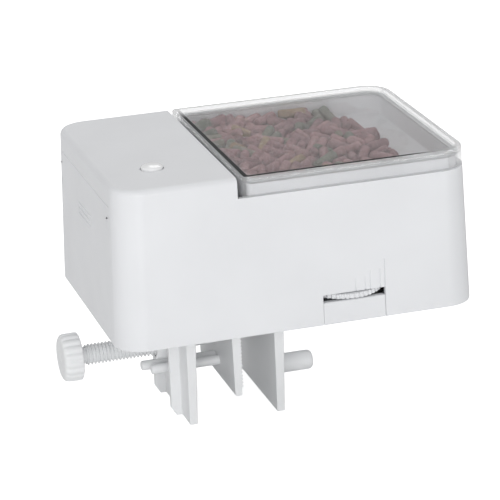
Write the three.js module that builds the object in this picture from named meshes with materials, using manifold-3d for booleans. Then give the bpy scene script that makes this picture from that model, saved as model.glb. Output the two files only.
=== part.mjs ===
// Clamp-on automatic feeder for an aquarium: a drafted box housing with a timer and two cells in its left
// block, a clear-lidded food bin in its right block, a motor-driven feed drum over a portion wheel, and a
// screw clamp under the base. Millimetres, +Z up, +X to the lid side, -Y to the side with the slot.
import * as THREE from "three";
import { mergeVertices } from "three/addons/utils/BufferGeometryUtils.js";
import Module from "manifold-3d";

// ---------------------------------------------------------------- driving dimensions
// x runs from the housing's left side, y from its front and z from its underside, all at mid-height of
// the drafted walls. The whole group is moved at the end, so that the origin is under the middle.
const gap = 0.3; // between pieces that touch or slide
const width = 125;
const depth = 90;
const height = 55.5;
const cornerRadius = 10;
const topEdgeRadius = 1.8;
const draft = 0.9; // each side leans in by this much above mid-height, and out by it below
const wall = 1.8;

const blockWidth = 42.2; // the closed block over the timer and the cells
const lidGroove = 1.8;
const lidHeight = 6.6;
const lidWall = 1.5;
const lidTop = 1.4;
const lidEdgeRadius = 0.8;
const binWall = 1.4;
const binRimDepth = 7;
const sealHeight = 0.9;

const baseThickness = 1.6;
const baseRecess = 0.6;
const foodTop = 50;
const foodFall = 16; // drop of the heap's surface towards the right
const foodFallFrom = 60;
const foodFallWidth = 57;

const postRadius = 3;
const postHeight = 13.5;
const screwRadius = 1.25;
const screwHeadRadius = 2.2;

const doorFront = 11;
const doorBack = 80;
const doorTop = 48.5;
const doorThickness = 1.5;
const doorGripHeight = 33;
const doorGripLength = 16.5;

const buttonRadius = 3.75;
const buttonX = 19.3;
const buttonY = 23.7;
const buttonDome = 1.5;
const buttonTravel = 0.8;

const cellRadius = 7.15;
const cellLength = 48.6;
const cellSpacing = 17;
const cellX = 12;
const cellBottomZ = 14.5;

const slotLeft = 70.2;
const slotWidth = 22.2;
const slotHeight = 2.4;
const panelHeight = 8.3;
const wheelRadius = 13.6;
const wheelThickness = 1.8;
const wheelTeeth = 48;
const wheelReach = 1.3; // how far the rim stands out of the slot
const wheelBore = 2.2;
const markWidth = 0.3;
const markDepth = 0.25;
const portionMarkPlaces = [ // how far each mark is from the slot's right end, and its length
  [0, 10],
  [1.7, 6.8],
  [5.2, 6.8],
  [7, 4.4],
  [10.4, 4.4],
];

const drumRadius = 8;
const drumLength = 19;
const drumY = 22;
const drumZ = 19.6;
const shaftRadius = 2;
const gearModule = 0.8;
const pinionTeeth = 10;
const wheelGearTeeth = 30;
const gearWidth = 2.4;
const motorAngle = Math.PI / 4; // from the idler to the motor
const motorRadius = 10;
const motorLength = 10.6;
const framePlate = 1.6;

const clampY = 45.3; // middle of the clamp, front to back
const clampDepth = 45;
const clampTopPlate = 3;
const clampDrop = 39; // underside of the housing down to the foot of the fixed plates
const plateTop = 3.8; // plate thickness at its root and at its foot
const plateFoot = 2.8;
const nutPlateX = 27.6; // outer face of the plate that carries the nut
const fixedJawX = 59.3; // clamping face of the fixed jaw
const jawThickness = 2.5;
const jawFaceX = 46.9; // clamping face of the moving jaw
const jawDrop = 30.8;
const toothPitch = 1.3;
const toothDepth = 0.5;
const screwZ = -16.2;
const threadRadius = 3.75;
const knobRadius = 8.5;
const knobLength = 7;
const knobFlutes = 18;
const knobFaceX = -5;
const bossRadius = 5.2;
const bossLength = 6;
const ribSpacing = 22;
const ribReach = 3.7;
const ribThickness = 2.2;
const guideRadius = 1.75;
const guideSpacing = 4.8;
const guideZ = -24.4;
const guideTail = 8;
const pegRadius = 3.5;
const pegLength = 16.4;
const pegZ = -30.4;

// ---------------------------------------------------------------- places that follow from them
const centreX = width / 2;
const centreY = depth / 2;
const lidLeft = blockWidth + lidGroove;
const lidUnder = height - lidHeight; // underside of the lid's skirt
const wallTop = lidUnder - gap; // top of the housing's walls round the bin
const baseTop = baseRecess + baseThickness;
const binInset = Math.max(wall, lidWall) + gap;
const binTop = height - lidTop - sealHeight - 2 * gap;
const binRimUnder = wallTop - binRimDepth + 4;
const slotRight = slotLeft + slotWidth;
const slotUnder = panelHeight;
const slotMiddle = (slotLeft + slotRight) / 2;
const wheelX = slotMiddle;
const wheelY = wheelRadius - wheelReach - draft / 2;
const wheelZ = slotUnder + gap;
const wheelTopZ = wheelZ + wheelThickness;
const drumX = slotMiddle;
const throatHeight = drumZ + drumRadius + gap; // where the bin's funnel opens over the drum
const bigGearRadius = (gearModule * wheelGearTeeth) / 2;
const smallGearRadius = (gearModule * pinionTeeth) / 2;
const gearDistance = bigGearRadius + smallGearRadius;
const partitionX = blockWidth - wall;
const outerLayerX = partitionX - 0.6 - gearWidth; // drum gear and the idler's pinion
const innerLayerX = outerLayerX - 0.6 - gearWidth; // idler's wheel and the motor's pinion
const frameX = innerLayerX - 1 - framePlate;
const idlerY = drumY + gearDistance;
const motorY = idlerY + gearDistance * Math.cos(motorAngle);
const motorZ = drumZ + gearDistance * Math.sin(motorAngle);
const cellTopZ = cellBottomZ + cellSpacing;
const cellMiddleY = (doorFront + doorBack) / 2;
const boardZ = cellTopZ + cellRadius + 8.6;
const boardThickness = 1.6;
const jawTopZ = baseRecess - gap - clampTopPlate - gap;
const clampFront = clampY - clampDepth / 2;
const clampBack = clampY + clampDepth / 2;
const bracketScrews = [
  [36, clampFront + 5],
  [36, clampBack - 5],
  [53, clampFront + 5],
  [53, clampBack - 5],
];
const baseScrews = [
  [24, postRadius + 1],
  [24, depth - postRadius - 1],
  [106, postRadius + 1],
  [106, depth - postRadius - 1],
];

// ---------------------------------------------------------------- solids
const wasm = await Module();
wasm.setup();

// A closed three.js geometry as a solid that can be joined and cut.
function solid(geometry) {
  const bare = geometry.index ? geometry.toNonIndexed() : geometry;
  bare.deleteAttribute("normal");
  bare.deleteAttribute("uv");
  const merged = mergeVertices(bare, 1e-4);
  return new wasm.Manifold(
    new wasm.Mesh({
      numProp: 3,
      vertProperties: merged.attributes.position.array,
      triVerts: new Uint32Array(merged.index.array),
    }),
  );
}

function box(x0, x1, y0, y1, z0, z1) {
  const geometry = new THREE.BoxGeometry(x1 - x0, y1 - y0, z1 - z0);
  return solid(geometry.translate((x0 + x1) / 2, (y0 + y1) / 2, (z0 + z1) / 2));
}

function rodZ(x, y, z0, z1, radius, sides = 18) {
  const geometry = new THREE.CylinderGeometry(radius, radius, z1 - z0, sides);
  return solid(geometry.rotateX(Math.PI / 2).translate(x, y, (z0 + z1) / 2));
}

function rodX(x0, x1, y, z, radius, sides = 18) {
  const geometry = new THREE.CylinderGeometry(radius, radius, x1 - x0, sides);
  return solid(geometry.rotateZ(-Math.PI / 2).translate((x0 + x1) / 2, y, z));
}

// A profile of [radius, height] points turned about an upright axis; it starts and ends on the axis.
function turned(profile, sides = 18) {
  return new THREE.LatheGeometry(
    profile.map(([radius, up]) => new THREE.Vector2(radius, up)),
    sides,
  );
}

// The same, lying along +X, with the profile's height as x.
function turnedX(profile, y, z, sides = 18) {
  return solid(turned(profile, sides).rotateZ(-Math.PI / 2).translate(0, y, z));
}

function outline(points) {
  return new THREE.Shape(points.map(([a, b]) => new THREE.Vector2(a, b)));
}

function roundedRect(x0, x1, y0, y1, radius) {
  const shape = new THREE.Shape();
  shape.absarc(x1 - radius, y1 - radius, radius, 0, Math.PI / 2);
  shape.absarc(x0 + radius, y1 - radius, radius, Math.PI / 2, Math.PI);
  shape.absarc(x0 + radius, y0 + radius, radius, Math.PI, 1.5 * Math.PI);
  shape.absarc(x1 - radius, y0 + radius, radius, 1.5 * Math.PI, 2 * Math.PI);
  return shape;
}

// A shape in the XY plane, from z0 up to z1; bevel rounds both of its ends.
function upright(shape, z0, z1, bevel = 0, curveSegments = 5) {
  const geometry = new THREE.ExtrudeGeometry(shape, {
    depth: z1 - z0 - 2 * bevel,
    bevelEnabled: bevel > 0,
    bevelThickness: bevel,
    bevelSize: bevel,
    bevelOffset: -bevel,
    bevelSegments: 2,
    curveSegments,
  });
  return geometry.translate(0, 0, z0 + bevel);
}

// A shape of [x, z] points, from y0 back to y1.
function alongY(points, y0, y1) {
  const geometry = new THREE.ExtrudeGeometry(outline(points), { depth: y1 - y0, bevelEnabled: false });
  return solid(geometry.rotateX(Math.PI / 2).translate(0, y1, 0));
}

// A shape in [y, z], from x0 to x1.
function alongX(shape, x0, x1, y = 0, z = 0, bevel = 0) {
  const geometry = upright(shape, x0, x1, bevel);
  return solid(geometry.rotateX(Math.PI / 2).rotateZ(Math.PI / 2).translate(0, y, z));
}

// Moulded walls lean inwards going up, by the same rule for every piece that shares the outer surface.
function drafted(geometry) {
  const place = geometry.attributes.position;
  for (let i = 0; i < place.count; i++) {
    const scale = 1 + (draft / centreX) * (1 - (2 * place.getZ(i)) / height);
    place.setX(i, centreX + (place.getX(i) - centreX) * scale);
    place.setY(i, centreY + (place.getY(i) - centreY) * scale);
  }
  return geometry;
}

// The housing's outer form, or the same form shrunk by inset.
function body(inset, z0, z1, bevel = 0) {
  const radius = Math.max(cornerRadius - inset, 1);
  const shape = roundedRect(inset, width - inset, inset, depth - inset, radius);
  return solid(drafted(upright(shape, z0, z1, bevel)));
}

// A body whose outline shrinks from one rectangle at the top to another at the foot.
function tapered(top, foot, radius, z0, z1) {
  const geometry = upright(roundedRect(top[0], top[1], top[2], top[3], radius), z0, z1);
  const place = geometry.attributes.position;
  for (let i = 0; i < place.count; i++) {
    const low = (z1 - place.getZ(i)) / (z1 - z0);
    const shareX = (place.getX(i) - top[0]) / (top[1] - top[0]);
    const shareY = (place.getY(i) - top[2]) / (top[3] - top[2]);
    const footX = foot[0] + shareX * (foot[1] - foot[0]);
    const footY = foot[2] + shareY * (foot[3] - foot[2]);
    place.setX(i, place.getX(i) + low * (footX - place.getX(i)));
    place.setY(i, place.getY(i) + low * (footY - place.getY(i)));
  }
  return solid(geometry);
}

// A toothed outline with one tooth centred on the angle phase.
function toothed(teeth, pitchRadius, addendum, dedendum, phase) {
  const points = [];
  const pitch = (2 * Math.PI) / teeth;
  for (let i = 0; i < teeth; i++) {
    const middle = phase + i * pitch;
    for (const [share, radius] of [
      [-0.27, pitchRadius - dedendum],
      [-0.11, pitchRadius + addendum],
      [0.11, pitchRadius + addendum],
      [0.27, pitchRadius - dedendum],
    ])
      points.push([radius * Math.cos(middle + share * pitch), radius * Math.sin(middle + share * pitch)]);
  }
  return points;
}

// A grip's outline: shallow flutes between ridges of the given radius.
function fluted(count, radius, flute) {
  const points = [];
  for (let i = 0; i < 2 * count; i++) {
    const turn = (i * Math.PI) / count;
    const reach = i % 2 ? radius - flute : radius;
    points.push([reach * Math.cos(turn), reach * Math.sin(turn)]);
  }
  return outline(points);
}

// A spur gear on an axis along X.
function gear(teeth, x0, y, z, phase, bore) {
  const shape = outline(toothed(teeth, (gearModule * teeth) / 2, 0.9 * gearModule, 1.15 * gearModule, phase));
  return alongX(shape, x0, x0 + gearWidth, y, z).subtract(rodX(x0 - 1, x0 + gearWidth + 1, y, z, bore, 16));
}

// A pan-head screw pointing up, its head's underside at z.
function screwUp(x, y, z, length, headHeight = 1.6) {
  const profile = [
    [0, -headHeight],
    [screwHeadRadius, -headHeight],
    [screwHeadRadius, 0],
    [screwRadius, 0],
    [screwRadius, length],
    [0, length],
  ];
  return turned(profile, 8).rotateX(Math.PI / 2).translate(x, y, z);
}

// ---------------------------------------------------------------- materials
const finish = (color, roughness, metalness = 0, extra = {}) =>
  new THREE.MeshStandardMaterial({ color, roughness, metalness, ...extra });
const whiteShell = finish(0xe6e7e9, 0.45);
const whiteClamp = finish(0xdcdcdc, 0.5);
const clearLid = finish(0xdadcdd, 0.12, 0, { transparent: true, opacity: 0.35 });
const softSeal = finish(0xcfd2d2, 0.7);
const steel = finish(0xb4b6b8, 0.35, 1);
const brass = finish(0xc9a75c, 0.35, 1);
const boardGreen = finish(0x1f6b43, 0.5);
const chipBlack = finish(0x1b1b1d, 0.55);
const cellBlue = finish(0x3b5d7c, 0.35);
const gearNylon = finish(0xe9e4d4, 0.5);
const foodBrown = finish(0x9a8a86, 0.9);

const feeder = new THREE.Group();

// Adds a named mesh from a solid or from a closed geometry.
function add(name, shape, material) {
  let geometry = shape;
  if (!shape.isBufferGeometry) {
    const { vertProperties, triVerts } = shape.getMesh();
    geometry = new THREE.BufferGeometry();
    geometry.setAttribute("position", new THREE.BufferAttribute(vertProperties, 3));
    geometry.setIndex(new THREE.BufferAttribute(triVerts, 1));
    geometry.computeVertexNormals();
  }
  const mesh = new THREE.Mesh(geometry, material);
  mesh.name = name;
  feeder.add(mesh);
}

// ---------------------------------------------------------------- housing and its covers
function housing() {
  let shell = body(0, -5, height, topEdgeRadius).intersect(box(-9, width + 9, -9, depth + 9, 0, height));
  shell = shell.subtract(body(wall, -1, height - wall));
  shell = shell.add(
    box(partitionX, blockWidth, wall / 2, depth - wall / 2, baseTop + gap, height - wall / 2),
  );
  shell = shell.subtract(box(blockWidth, width + 9, -9, depth + 9, wallTop, height + 1));
  for (const [x, y] of baseScrews) {
    shell = shell.add(rodZ(x, y, baseTop + gap, baseTop + gap + postHeight, postRadius, 12));
    shell = shell.subtract(rodZ(x, y, 0, baseTop + postHeight - 1, screwRadius + gap, 8));
  }
  for (const x of [lidLeft + 12, width - 16])
    for (const y of [wall / 2, depth - wall / 2 - 2.1])
      shell = shell.add(box(x, x + 6, y, y + 2.1, binRimUnder - gap - 2, binRimUnder - gap));
  for (const [x, y] of boardPosts) {
    shell = shell.add(rodZ(x, y, boardZ + boardThickness + gap, height - wall / 2, 2.4, 12));
    shell = shell.subtract(rodZ(x, y, boardZ, height - wall - 1, screwRadius + gap, 8));
  }
  shell = shell.subtract(box(-9, wall + draft + gap, doorFront, doorBack, -1, doorTop));
  shell = shell.subtract(box(slotLeft, slotRight, -9, wall + 2, -1, slotUnder + slotHeight));
  shell = shell.subtract(rodZ(buttonX, buttonY, height - wall - 1, height + 1, buttonRadius + gap));
  shell = shell.subtract(rodX(partitionX - 1, blockWidth + 1, drumY, drumZ, shaftRadius + gap, 16));
  return shell.subtract(portionMarks());
}

// Shallow upright grooves over the slot, longer towards the larger portions.
function portionMarks() {
  const foot = slotUnder + slotHeight;
  const marks = portionMarkPlaces.map(([fromRight, length]) => {
    const x = slotRight - markWidth - fromRight;
    const top = foot + length;
    const face = -((draft * centreY) / centreX) * (1 - (2 * top) / height); // the front at the mark's top
    return box(x, x + markWidth, face - 1, face + markDepth, foot - 1, top);
  });
  return marks.reduce((all, mark) => all.add(mark));
}

function baseCover() {
  let plate = body(wall + gap, baseRecess, baseTop);
  for (const [x, y] of bracketScrews)
    plate = plate.add(rodZ(x, y, baseTop - 0.5, baseTop + 3.4, postRadius, 12));
  plate = plate.add(rodZ(wheelX, wheelY, baseTop - 0.5, wheelZ - gap, wheelBore + 1.4, 20));
  plate = plate.add(rodZ(wheelX, wheelY, baseTop - 0.5, wheelTopZ + 0.5, wheelBore - gap, 20));
  for (const [x, y] of bracketScrews)
    plate = plate.subtract(rodZ(x, y, baseRecess - 1, baseTop + 2.6, screwRadius + gap, 8));
  for (const [x, y] of baseScrews) {
    plate = plate.subtract(rodZ(x, y, baseRecess - 1, baseTop + 1, screwRadius + gap, 8));
    plate = plate.subtract(rodZ(x, y, baseRecess - 1, baseRecess + 0.9, screwHeadRadius + gap, 10));
  }
  const [x0, x1, y0, y1] = chuteOutline;
  plate = plate.subtract(box(x0 - gap, x1 + gap, y0 - gap, y1 + gap, 0, baseTop + 1));
  plate = plate.subtract(box(-9, railBackX + gap, doorFront - railLip - gap, doorBack + railLip + gap, 0, 9));
  return plate.subtract(box(slotLeft - gap, slotRight + gap, -9, wall + panelClip + gap, 0, baseTop + 1));
}

const railFrontX = wall + draft + gap;
const railBackX = railFrontX + 1;
const railLip = 1.6;

// The battery door slides down on two rails that run behind the edges of its opening.
function batteryCover() {
  const y0 = doorFront + gap;
  const y1 = doorBack - gap;
  const z1 = doorTop - gap;
  let door = body(0, 0, z1).subtract(body(doorThickness, -1, z1 + 1));
  door = door.intersect(box(-9, width / 4, y0, y1, -1, z1 + 1));
  for (const [inner, outer] of [
    [y0 + 2, doorFront - railLip],
    [y1 - 2, doorBack + railLip],
  ]) {
    const edge = inner < clampY ? y0 : y1;
    door = door.add(box(0.4, railBackX, Math.min(inner, edge), Math.max(inner, edge), baseTop, z1 - 4));
    const low = Math.min(inner, outer);
    door = door.add(box(railFrontX, railBackX, low, Math.max(inner, outer), baseTop, z1 - 4));
  }
  for (const up of [0, 2, 3.8]) {
    const lean = draft * (1 - (2 * (doorGripHeight + up)) / height);
    const grip = rodX(0, doorGripLength, 0, 0, 0.45, 10).rotate([0, 0, 90]);
    door = door.add(grip.translate([-lean - 0.05, cellMiddleY - doorGripLength / 2, doorGripHeight + up]));
  }
  return door;
}

const panelClip = 1.2;

// The front panel under the slot clips in from below.
function outletPanel() {
  const x0 = slotLeft + gap;
  const x1 = slotRight - gap;
  const face = body(0, 0, panelHeight - gap).subtract(body(wall, -1, panelHeight));
  const panel = face.intersect(box(x0, x1, -9, wall, -1, panelHeight));
  const back = wall / 2;
  let clips = box(x0 + 1, x0 + 3, back, wall + panelClip, 0.5, panelHeight - 1);
  clips = clips.add(box(x1 - 3, x1 - 1, back, wall + panelClip, 0.5, panelHeight - 1));
  return panel.add(clips);
}

// ---------------------------------------------------------------- food bin, lid and seal
const rimTop = [lidLeft + lidWall + gap, width - binInset, binInset, depth - binInset];
const throat = [drumX - drumLength / 2, drumX + drumLength / 2, drumY - drumRadius, drumY + drumRadius];
const funnelTop = binRimUnder + 0.5;

// A straight-walled block inside the lid's skirt: the bin's rim, and what hollows it.
function binBlock(inset, z0, z1) {
  const left = rimTop[0] + inset;
  return body(binInset + inset, z0, z1).intersect(box(left, width + 9, -9, depth + 9, z0, z1));
}

function grown(rectangle, by) {
  return [rectangle[0] - by, rectangle[1] + by, rectangle[2] - by, rectangle[3] + by];
}

function hopperBin() {
  const cornerR = cornerRadius - binInset;
  let bin = binBlock(0, binRimUnder, binTop);
  const rim = grown(rimTop, -0.6 - draft);
  bin = bin.add(tapered(rim, grown(throat, binWall), cornerR, throatHeight + gap, funnelTop));
  bin = bin.subtract(binBlock(binWall, funnelTop - 0.01, binTop + 1));
  const inner = grown(rimTop, -binWall - 0.6 - draft);
  bin = bin.subtract(tapered(inner, throat, cornerR - binWall, throatHeight + gap - 0.01, funnelTop + 0.3));
  return bin.subtract(box(throat[0], throat[1], throat[2], throat[3], throatHeight - 1, throatHeight + 1));
}

// The food: level under the lid at the left, falling away to the right to leave room for a scoop.
function foodFill() {
  const clear = binWall + 1.2;
  const inner = grown(rimTop, -clear - 0.2 - draft);
  const low = tapered(inner, grown(throat, -1), cornerRadius - 4, throatHeight + 1.2, funnelTop + 0.1);
  const pile = low.add(binBlock(clear, funnelTop, foodTop + 1));
  const left = rimTop[0] - 5;
  const profile = [
    [left, throatHeight],
    [left, foodTop],
  ];
  const steps = 7;
  for (let i = 0; i <= steps; i++) {
    const share = i / steps;
    profile.push([foodFallFrom + share * foodFallWidth, foodTop - foodFall * share ** 7]);
  }
  profile.push([foodFallFrom + foodFallWidth, throatHeight]);
  return pile.intersect(alongY(profile, 0, depth));
}

function lid() {
  let cap = body(0, lidUnder - 4, height, lidEdgeRadius);
  cap = cap.intersect(box(lidLeft, width + 9, -9, depth + 9, lidUnder, height));
  const hollow = body(lidWall, lidUnder - 1, height - lidTop);
  return cap.subtract(hollow.intersect(box(lidLeft + lidWall, width + 9, -9, depth + 9, 0, height)));
}

function lidSeal() {
  const z1 = height - lidTop - gap;
  return binBlock(0.2, z1 - sealHeight, z1).subtract(binBlock(binWall + 0.6, z1 - 9, z1 + 1));
}

// ---------------------------------------------------------------- timer, button and cells
const boardPosts = [
  [10, 34],
  [37, 16],
  [37, 58],
];
const boardEdges = [6, partitionX - gap, 13, 62];
const switchHeight = 1.2;

function buttonCap() {
  const flangeTop = height - wall - gap;
  const profile = [[0, boardZ + boardThickness + gap + switchHeight + 0.6 + buttonTravel + gap]];
  const stem = profile[0][1];
  profile.push([1.6, stem], [1.6, flangeTop - 1.1], [buttonRadius + 1.2, flangeTop - 1.1]);
  profile.push([buttonRadius + 1.2, flangeTop], [buttonRadius, flangeTop], [buttonRadius, height]);
  const steps = 3;
  for (let i = 1; i <= steps; i++) {
    const turn = (i / steps) * (Math.PI / 2);
    profile.push([i === steps ? 0 : buttonRadius * Math.cos(turn), height + buttonDome * Math.sin(turn)]);
  }
  return turned(profile, 20).rotateX(Math.PI / 2).translate(buttonX, buttonY, 0);
}

function circuitBoard() {
  const [x0, x1, y0, y1] = boardEdges;
  let board = box(x0, x1, y0, y1, boardZ, boardZ + boardThickness);
  for (const [x, y] of boardPosts)
    board = board.subtract(rodZ(x, y, boardZ - 1, boardZ + 3, screwRadius + gap, 8));
  return board;
}

function tactSwitch() {
  const z = boardZ + boardThickness + gap;
  const can = box(buttonX - 3, buttonX + 3, buttonY - 3, buttonY + 3, z, z + switchHeight);
  return can.add(rodZ(buttonX, buttonY, z, z + switchHeight + 0.6, 1.5, 16));
}

const holderEnd = 5;
const cellFront = cellMiddleY - cellLength / 2;
const cellBack = cellMiddleY + cellLength / 2;

function batteryHolder() {
  const x0 = railBackX + gap;
  const x1 = cellX + cellRadius + 1;
  const z0 = cellBottomZ - cellRadius - 1;
  const z1 = cellTopZ + cellRadius + 1;
  const y0 = cellFront - holderEnd;
  const y1 = cellBack + holderEnd;
  let tray = box(x0, x1, y0, y1, z0, z1);
  tray = tray.subtract(box(x0 - 1, x1 - 0.7, y0 + 1, y1 - 1, z0 + 0.7, z1 - 0.7));
  const middle = (cellBottomZ + cellTopZ) / 2;
  return tray.add(box(cellX, x1 - 0.3, y0 + 0.5, y1 - 0.5, middle - 0.6, middle + 0.6));
}

// One cell lying front to back; its raised end faces the back when flip is false.
function cell(z, flip) {
  const half = cellLength / 2;
  const profile = [
    [0, -half],
    [cellRadius - 0.8, -half],
    [cellRadius, -half + 0.8],
    [cellRadius, half - 1.8],
    [cellRadius - 0.8, half - 1],
    [2.7, half - 1],
    [2.7, half],
    [0, half],
  ];
  const geometry = turned(profile, 16);
  if (flip) geometry.rotateZ(Math.PI);
  return geometry.translate(cellX, cellMiddleY, z);
}

function contactTab(y, z) {
  const plate = box(cellX - 5, cellX + 5, y, y + 0.5, z - 5, z + 5);
  const dimple = new THREE.CylinderGeometry(1.6, 2.2, 0.8, 16);
  return plate.add(solid(dimple.translate(cellX, y < cellMiddleY ? y + 0.8 : y - 0.3, z)));
}

// A conical contact spring drawn as its envelope: a thin-walled cone on a square foot.
function contactSpring(y, z, facesBack) {
  const reach = holderEnd - 2.2;
  const profile = [
    [3.2, 0.2],
    [2.2, reach],
    [1.5, reach],
    [2.5, 0.2],
    [3.2, 0.2],
  ];
  const cone = turned(profile, 16);
  if (!facesBack) cone.rotateZ(Math.PI);
  const foot = box(cellX - 5, cellX + 5, y - 0.25, y + 0.25, z - 5, z + 5);
  return foot.add(solid(cone.translate(cellX, y, z)));
}

// ---------------------------------------------------------------- drive and feed
const framePosts = [
  [14, 38],
  [58, 10],
  [58, 42],
];

function gearFrame() {
  let frame = box(frameX, frameX + framePlate, 10, 62, 6.4, 45);
  frame = frame.subtract(rodX(frameX - 1, frameX + 3, motorY, motorZ, 3.5, 20));
  frame = frame.subtract(rodX(frameX - 1, frameX + 3, drumY, drumZ, shaftRadius + gap, 16));
  frame = frame.subtract(rodX(frameX - 1, frameX + 3, idlerY, drumZ, 1 + gap, 12));
  for (const [y, z] of framePosts) {
    frame = frame.add(rodX(frameX + 0.5, partitionX - gap, y, z, postRadius, 12));
    frame = frame.subtract(rodX(frameX - 1, partitionX - 1.5, y, z, screwRadius + gap, 8));
  }
  return frame;
}

function frameScrew(y, z) {
  const geometry = screwUp(0, 0, 0, 6).rotateY(Math.PI / 2);
  return geometry.translate(frameX - gap, y, z);
}

function feedMotor() {
  const x1 = frameX - gap;
  const x0 = x1 - motorLength;
  const can = turnedX(
    [
      [0, x0],
      [motorRadius - 1, x0],
      [motorRadius, x0 + 1],
      [motorRadius, x1],
      [3.2, x1],
      [3.2, x1 + 1.4],
      [1, x1 + 1.4],
      [1, x1 + 1.5],
      [0, x1 + 1.5],
    ],
    motorY,
    motorZ,
    20,
  );
  return can.add(rodX(x1, outerLayerX - 0.4, motorY, motorZ, 1, 12));
}

const pinionPitch = (2 * Math.PI) / pinionTeeth;
const gearPitch = (2 * Math.PI) / wheelGearTeeth;

// The idler: a wheel driven by the motor's pinion and a pinion that drives the drum's gear.
function idlerGear() {
  const wheelPhase = motorAngle + gearPitch / 2;
  const big = gear(wheelGearTeeth, innerLayerX, idlerY, drumZ, wheelPhase, 1 + gap);
  const small = gear(pinionTeeth, outerLayerX, idlerY, drumZ, Math.PI + pinionPitch / 2, 1 + gap);
  const hub = rodX(innerLayerX + gearWidth - 0.5, outerLayerX + 0.5, idlerY, drumZ, 2.6, 16);
  return big.add(small).add(hub).subtract(rodX(frameX, partitionX, idlerY, drumZ, 1 + gap, 16));
}

function feedDrum() {
  const x0 = drumX - drumLength / 2 + gap;
  const x1 = drumX + drumLength / 2 - gap;
  let drum = rodX(x0, x1, drumY, drumZ, drumRadius - gap, 24);
  drum = drum.subtract(rodX(x0 + 1.6, x1 - 1.6, drumY, drumZ + drumRadius, 5.2, 12));
  drum = drum.subtract(rodX(x0 + 1.6, x1 - 1.6, drumY, drumZ - drumRadius, 5.2, 12));
  drum = drum.add(rodX(x1 - 0.5, x1 + 3, drumY, drumZ, shaftRadius, 16));
  return drum.subtract(rodX(x0 - 1, x0 + 6, drumY, drumZ, shaftRadius + gap, 6));
}

function drumHousing() {
  const [x0, x1, y0, y1] = grown(throat, 1.6);
  const foot = wheelTopZ + 0.6;
  const inner = drumLength / 2;
  let trough = box(x0, x1, y0, y1, foot, throatHeight);
  for (const x of [x0, x1 - 2.4])
    trough = trough.add(box(x, x + 2.4, y1 - 3, y1 + 2, baseTop + gap, foot + 4));
  trough = trough.subtract(rodX(drumX - inner, drumX + inner, drumY, drumZ, drumRadius, 24));
  trough = trough.subtract(box(throat[0], throat[1], throat[2], throat[3], drumZ, throatHeight + 1));
  trough = trough.subtract(rodX(x0 - 1, x1 + 1, drumY, drumZ, shaftRadius + gap, 16));
  const [a0, a1, b0, b1] = chuteOutline;
  return trough.subtract(box(a0 + 1, a1 - 1, b0 + 1, b1 - 1, foot - 1, drumZ));
}

const chuteOutline = [
  wheelX - 6.6,
  wheelX + 6.6,
  wheelY + wheelBore + 1.4 + 2 * gap,
  wheelY + wheelRadius - 1,
];

function outletChute() {
  const [x0, x1, y0, y1] = chuteOutline;
  const top = wheelZ - gap;
  const tube = box(x0, x1, y0, y1, baseRecess, top).add(
    box(x0 - 1.2, x1 + 1.2, y0, y1 + 1.2, baseTop + gap, baseTop + gap + 1),
  );
  return tube.subtract(box(x0 + 1, x1 - 1, y0 + 1, y1 - 1, 0, top + 1));
}

// The thumb wheel under the drum: its curved opening lets more or less food through as it is turned.
function portionWheel() {
  const rim = fluted(wheelTeeth, wheelRadius, 0.5);
  let disc = solid(upright(rim, wheelZ, wheelTopZ)).translate([wheelX, wheelY, 0]);
  disc = disc.subtract(rodZ(wheelX, wheelY, wheelZ - 1, wheelTopZ + 1, wheelBore, 20));
  const opening = new THREE.Shape();
  const middleRadius = (chuteOutline[2] + chuteOutline[3]) / 2 - wheelY;
  const sweep = Math.PI * 0.3;
  opening.absarc(0, 0, middleRadius + 2.6, Math.PI / 2 - sweep, Math.PI / 2 + sweep, false);
  opening.absarc(0, 0, middleRadius - 2.2, Math.PI / 2 + sweep, Math.PI / 2 - sweep, true);
  return disc.subtract(solid(upright(opening, wheelZ - 1, wheelTopZ + 1)).translate([wheelX, wheelY, 0]));
}

// ---------------------------------------------------------------- clamp
function nutPlate() {
  const foot = -clampDrop;
  const root = baseRecess - gap - 1;
  let plate = alongY(
    [
      [nutPlateX, root],
      [nutPlateX, foot + 0.5],
      [nutPlateX + 0.5, foot],
      [nutPlateX + plateFoot - 0.5, foot],
      [nutPlateX + plateFoot, foot + 0.5],
      [nutPlateX + plateTop, root],
    ],
    clampFront,
    clampBack,
  );
  for (const side of [-1, 1]) {
    const y = clampY + (side * ribSpacing) / 2;
    const rib = [
      [nutPlateX + 1, root],
      [nutPlateX - ribReach, root],
      [nutPlateX - ribReach, foot + 2.2],
      [nutPlateX - ribReach + 1.6, foot],
      [nutPlateX + 1, foot],
    ];
    plate = plate.add(alongY(rib, y - ribThickness / 2, y + ribThickness / 2));
  }
  return plate.add(rodX(nutPlateX - bossLength, nutPlateX + 1, clampY, screwZ, bossRadius, 20));
}

function fixedJaw() {
  const foot = -clampDrop;
  const root = baseRecess - gap - 1;
  const jaw = alongY(
    [
      [fixedJawX, root],
      [fixedJawX, foot + 0.5],
      [fixedJawX + 0.5, foot],
      [fixedJawX + plateFoot - 0.5, foot],
      [fixedJawX + plateFoot, foot + 0.5],
      [fixedJawX + plateTop, root],
    ],
    clampFront,
    clampBack,
  );
  const end = fixedJawX + plateTop + pegLength;
  const peg = turnedX(
    [
      [0, fixedJawX + 1],
      [pegRadius, fixedJawX + 1],
      [pegRadius, end - 1],
      [pegRadius - 1, end],
      [0, end],
    ],
    clampY,
    pegZ,
    20,
  );
  return jaw.add(peg);
}

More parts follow.
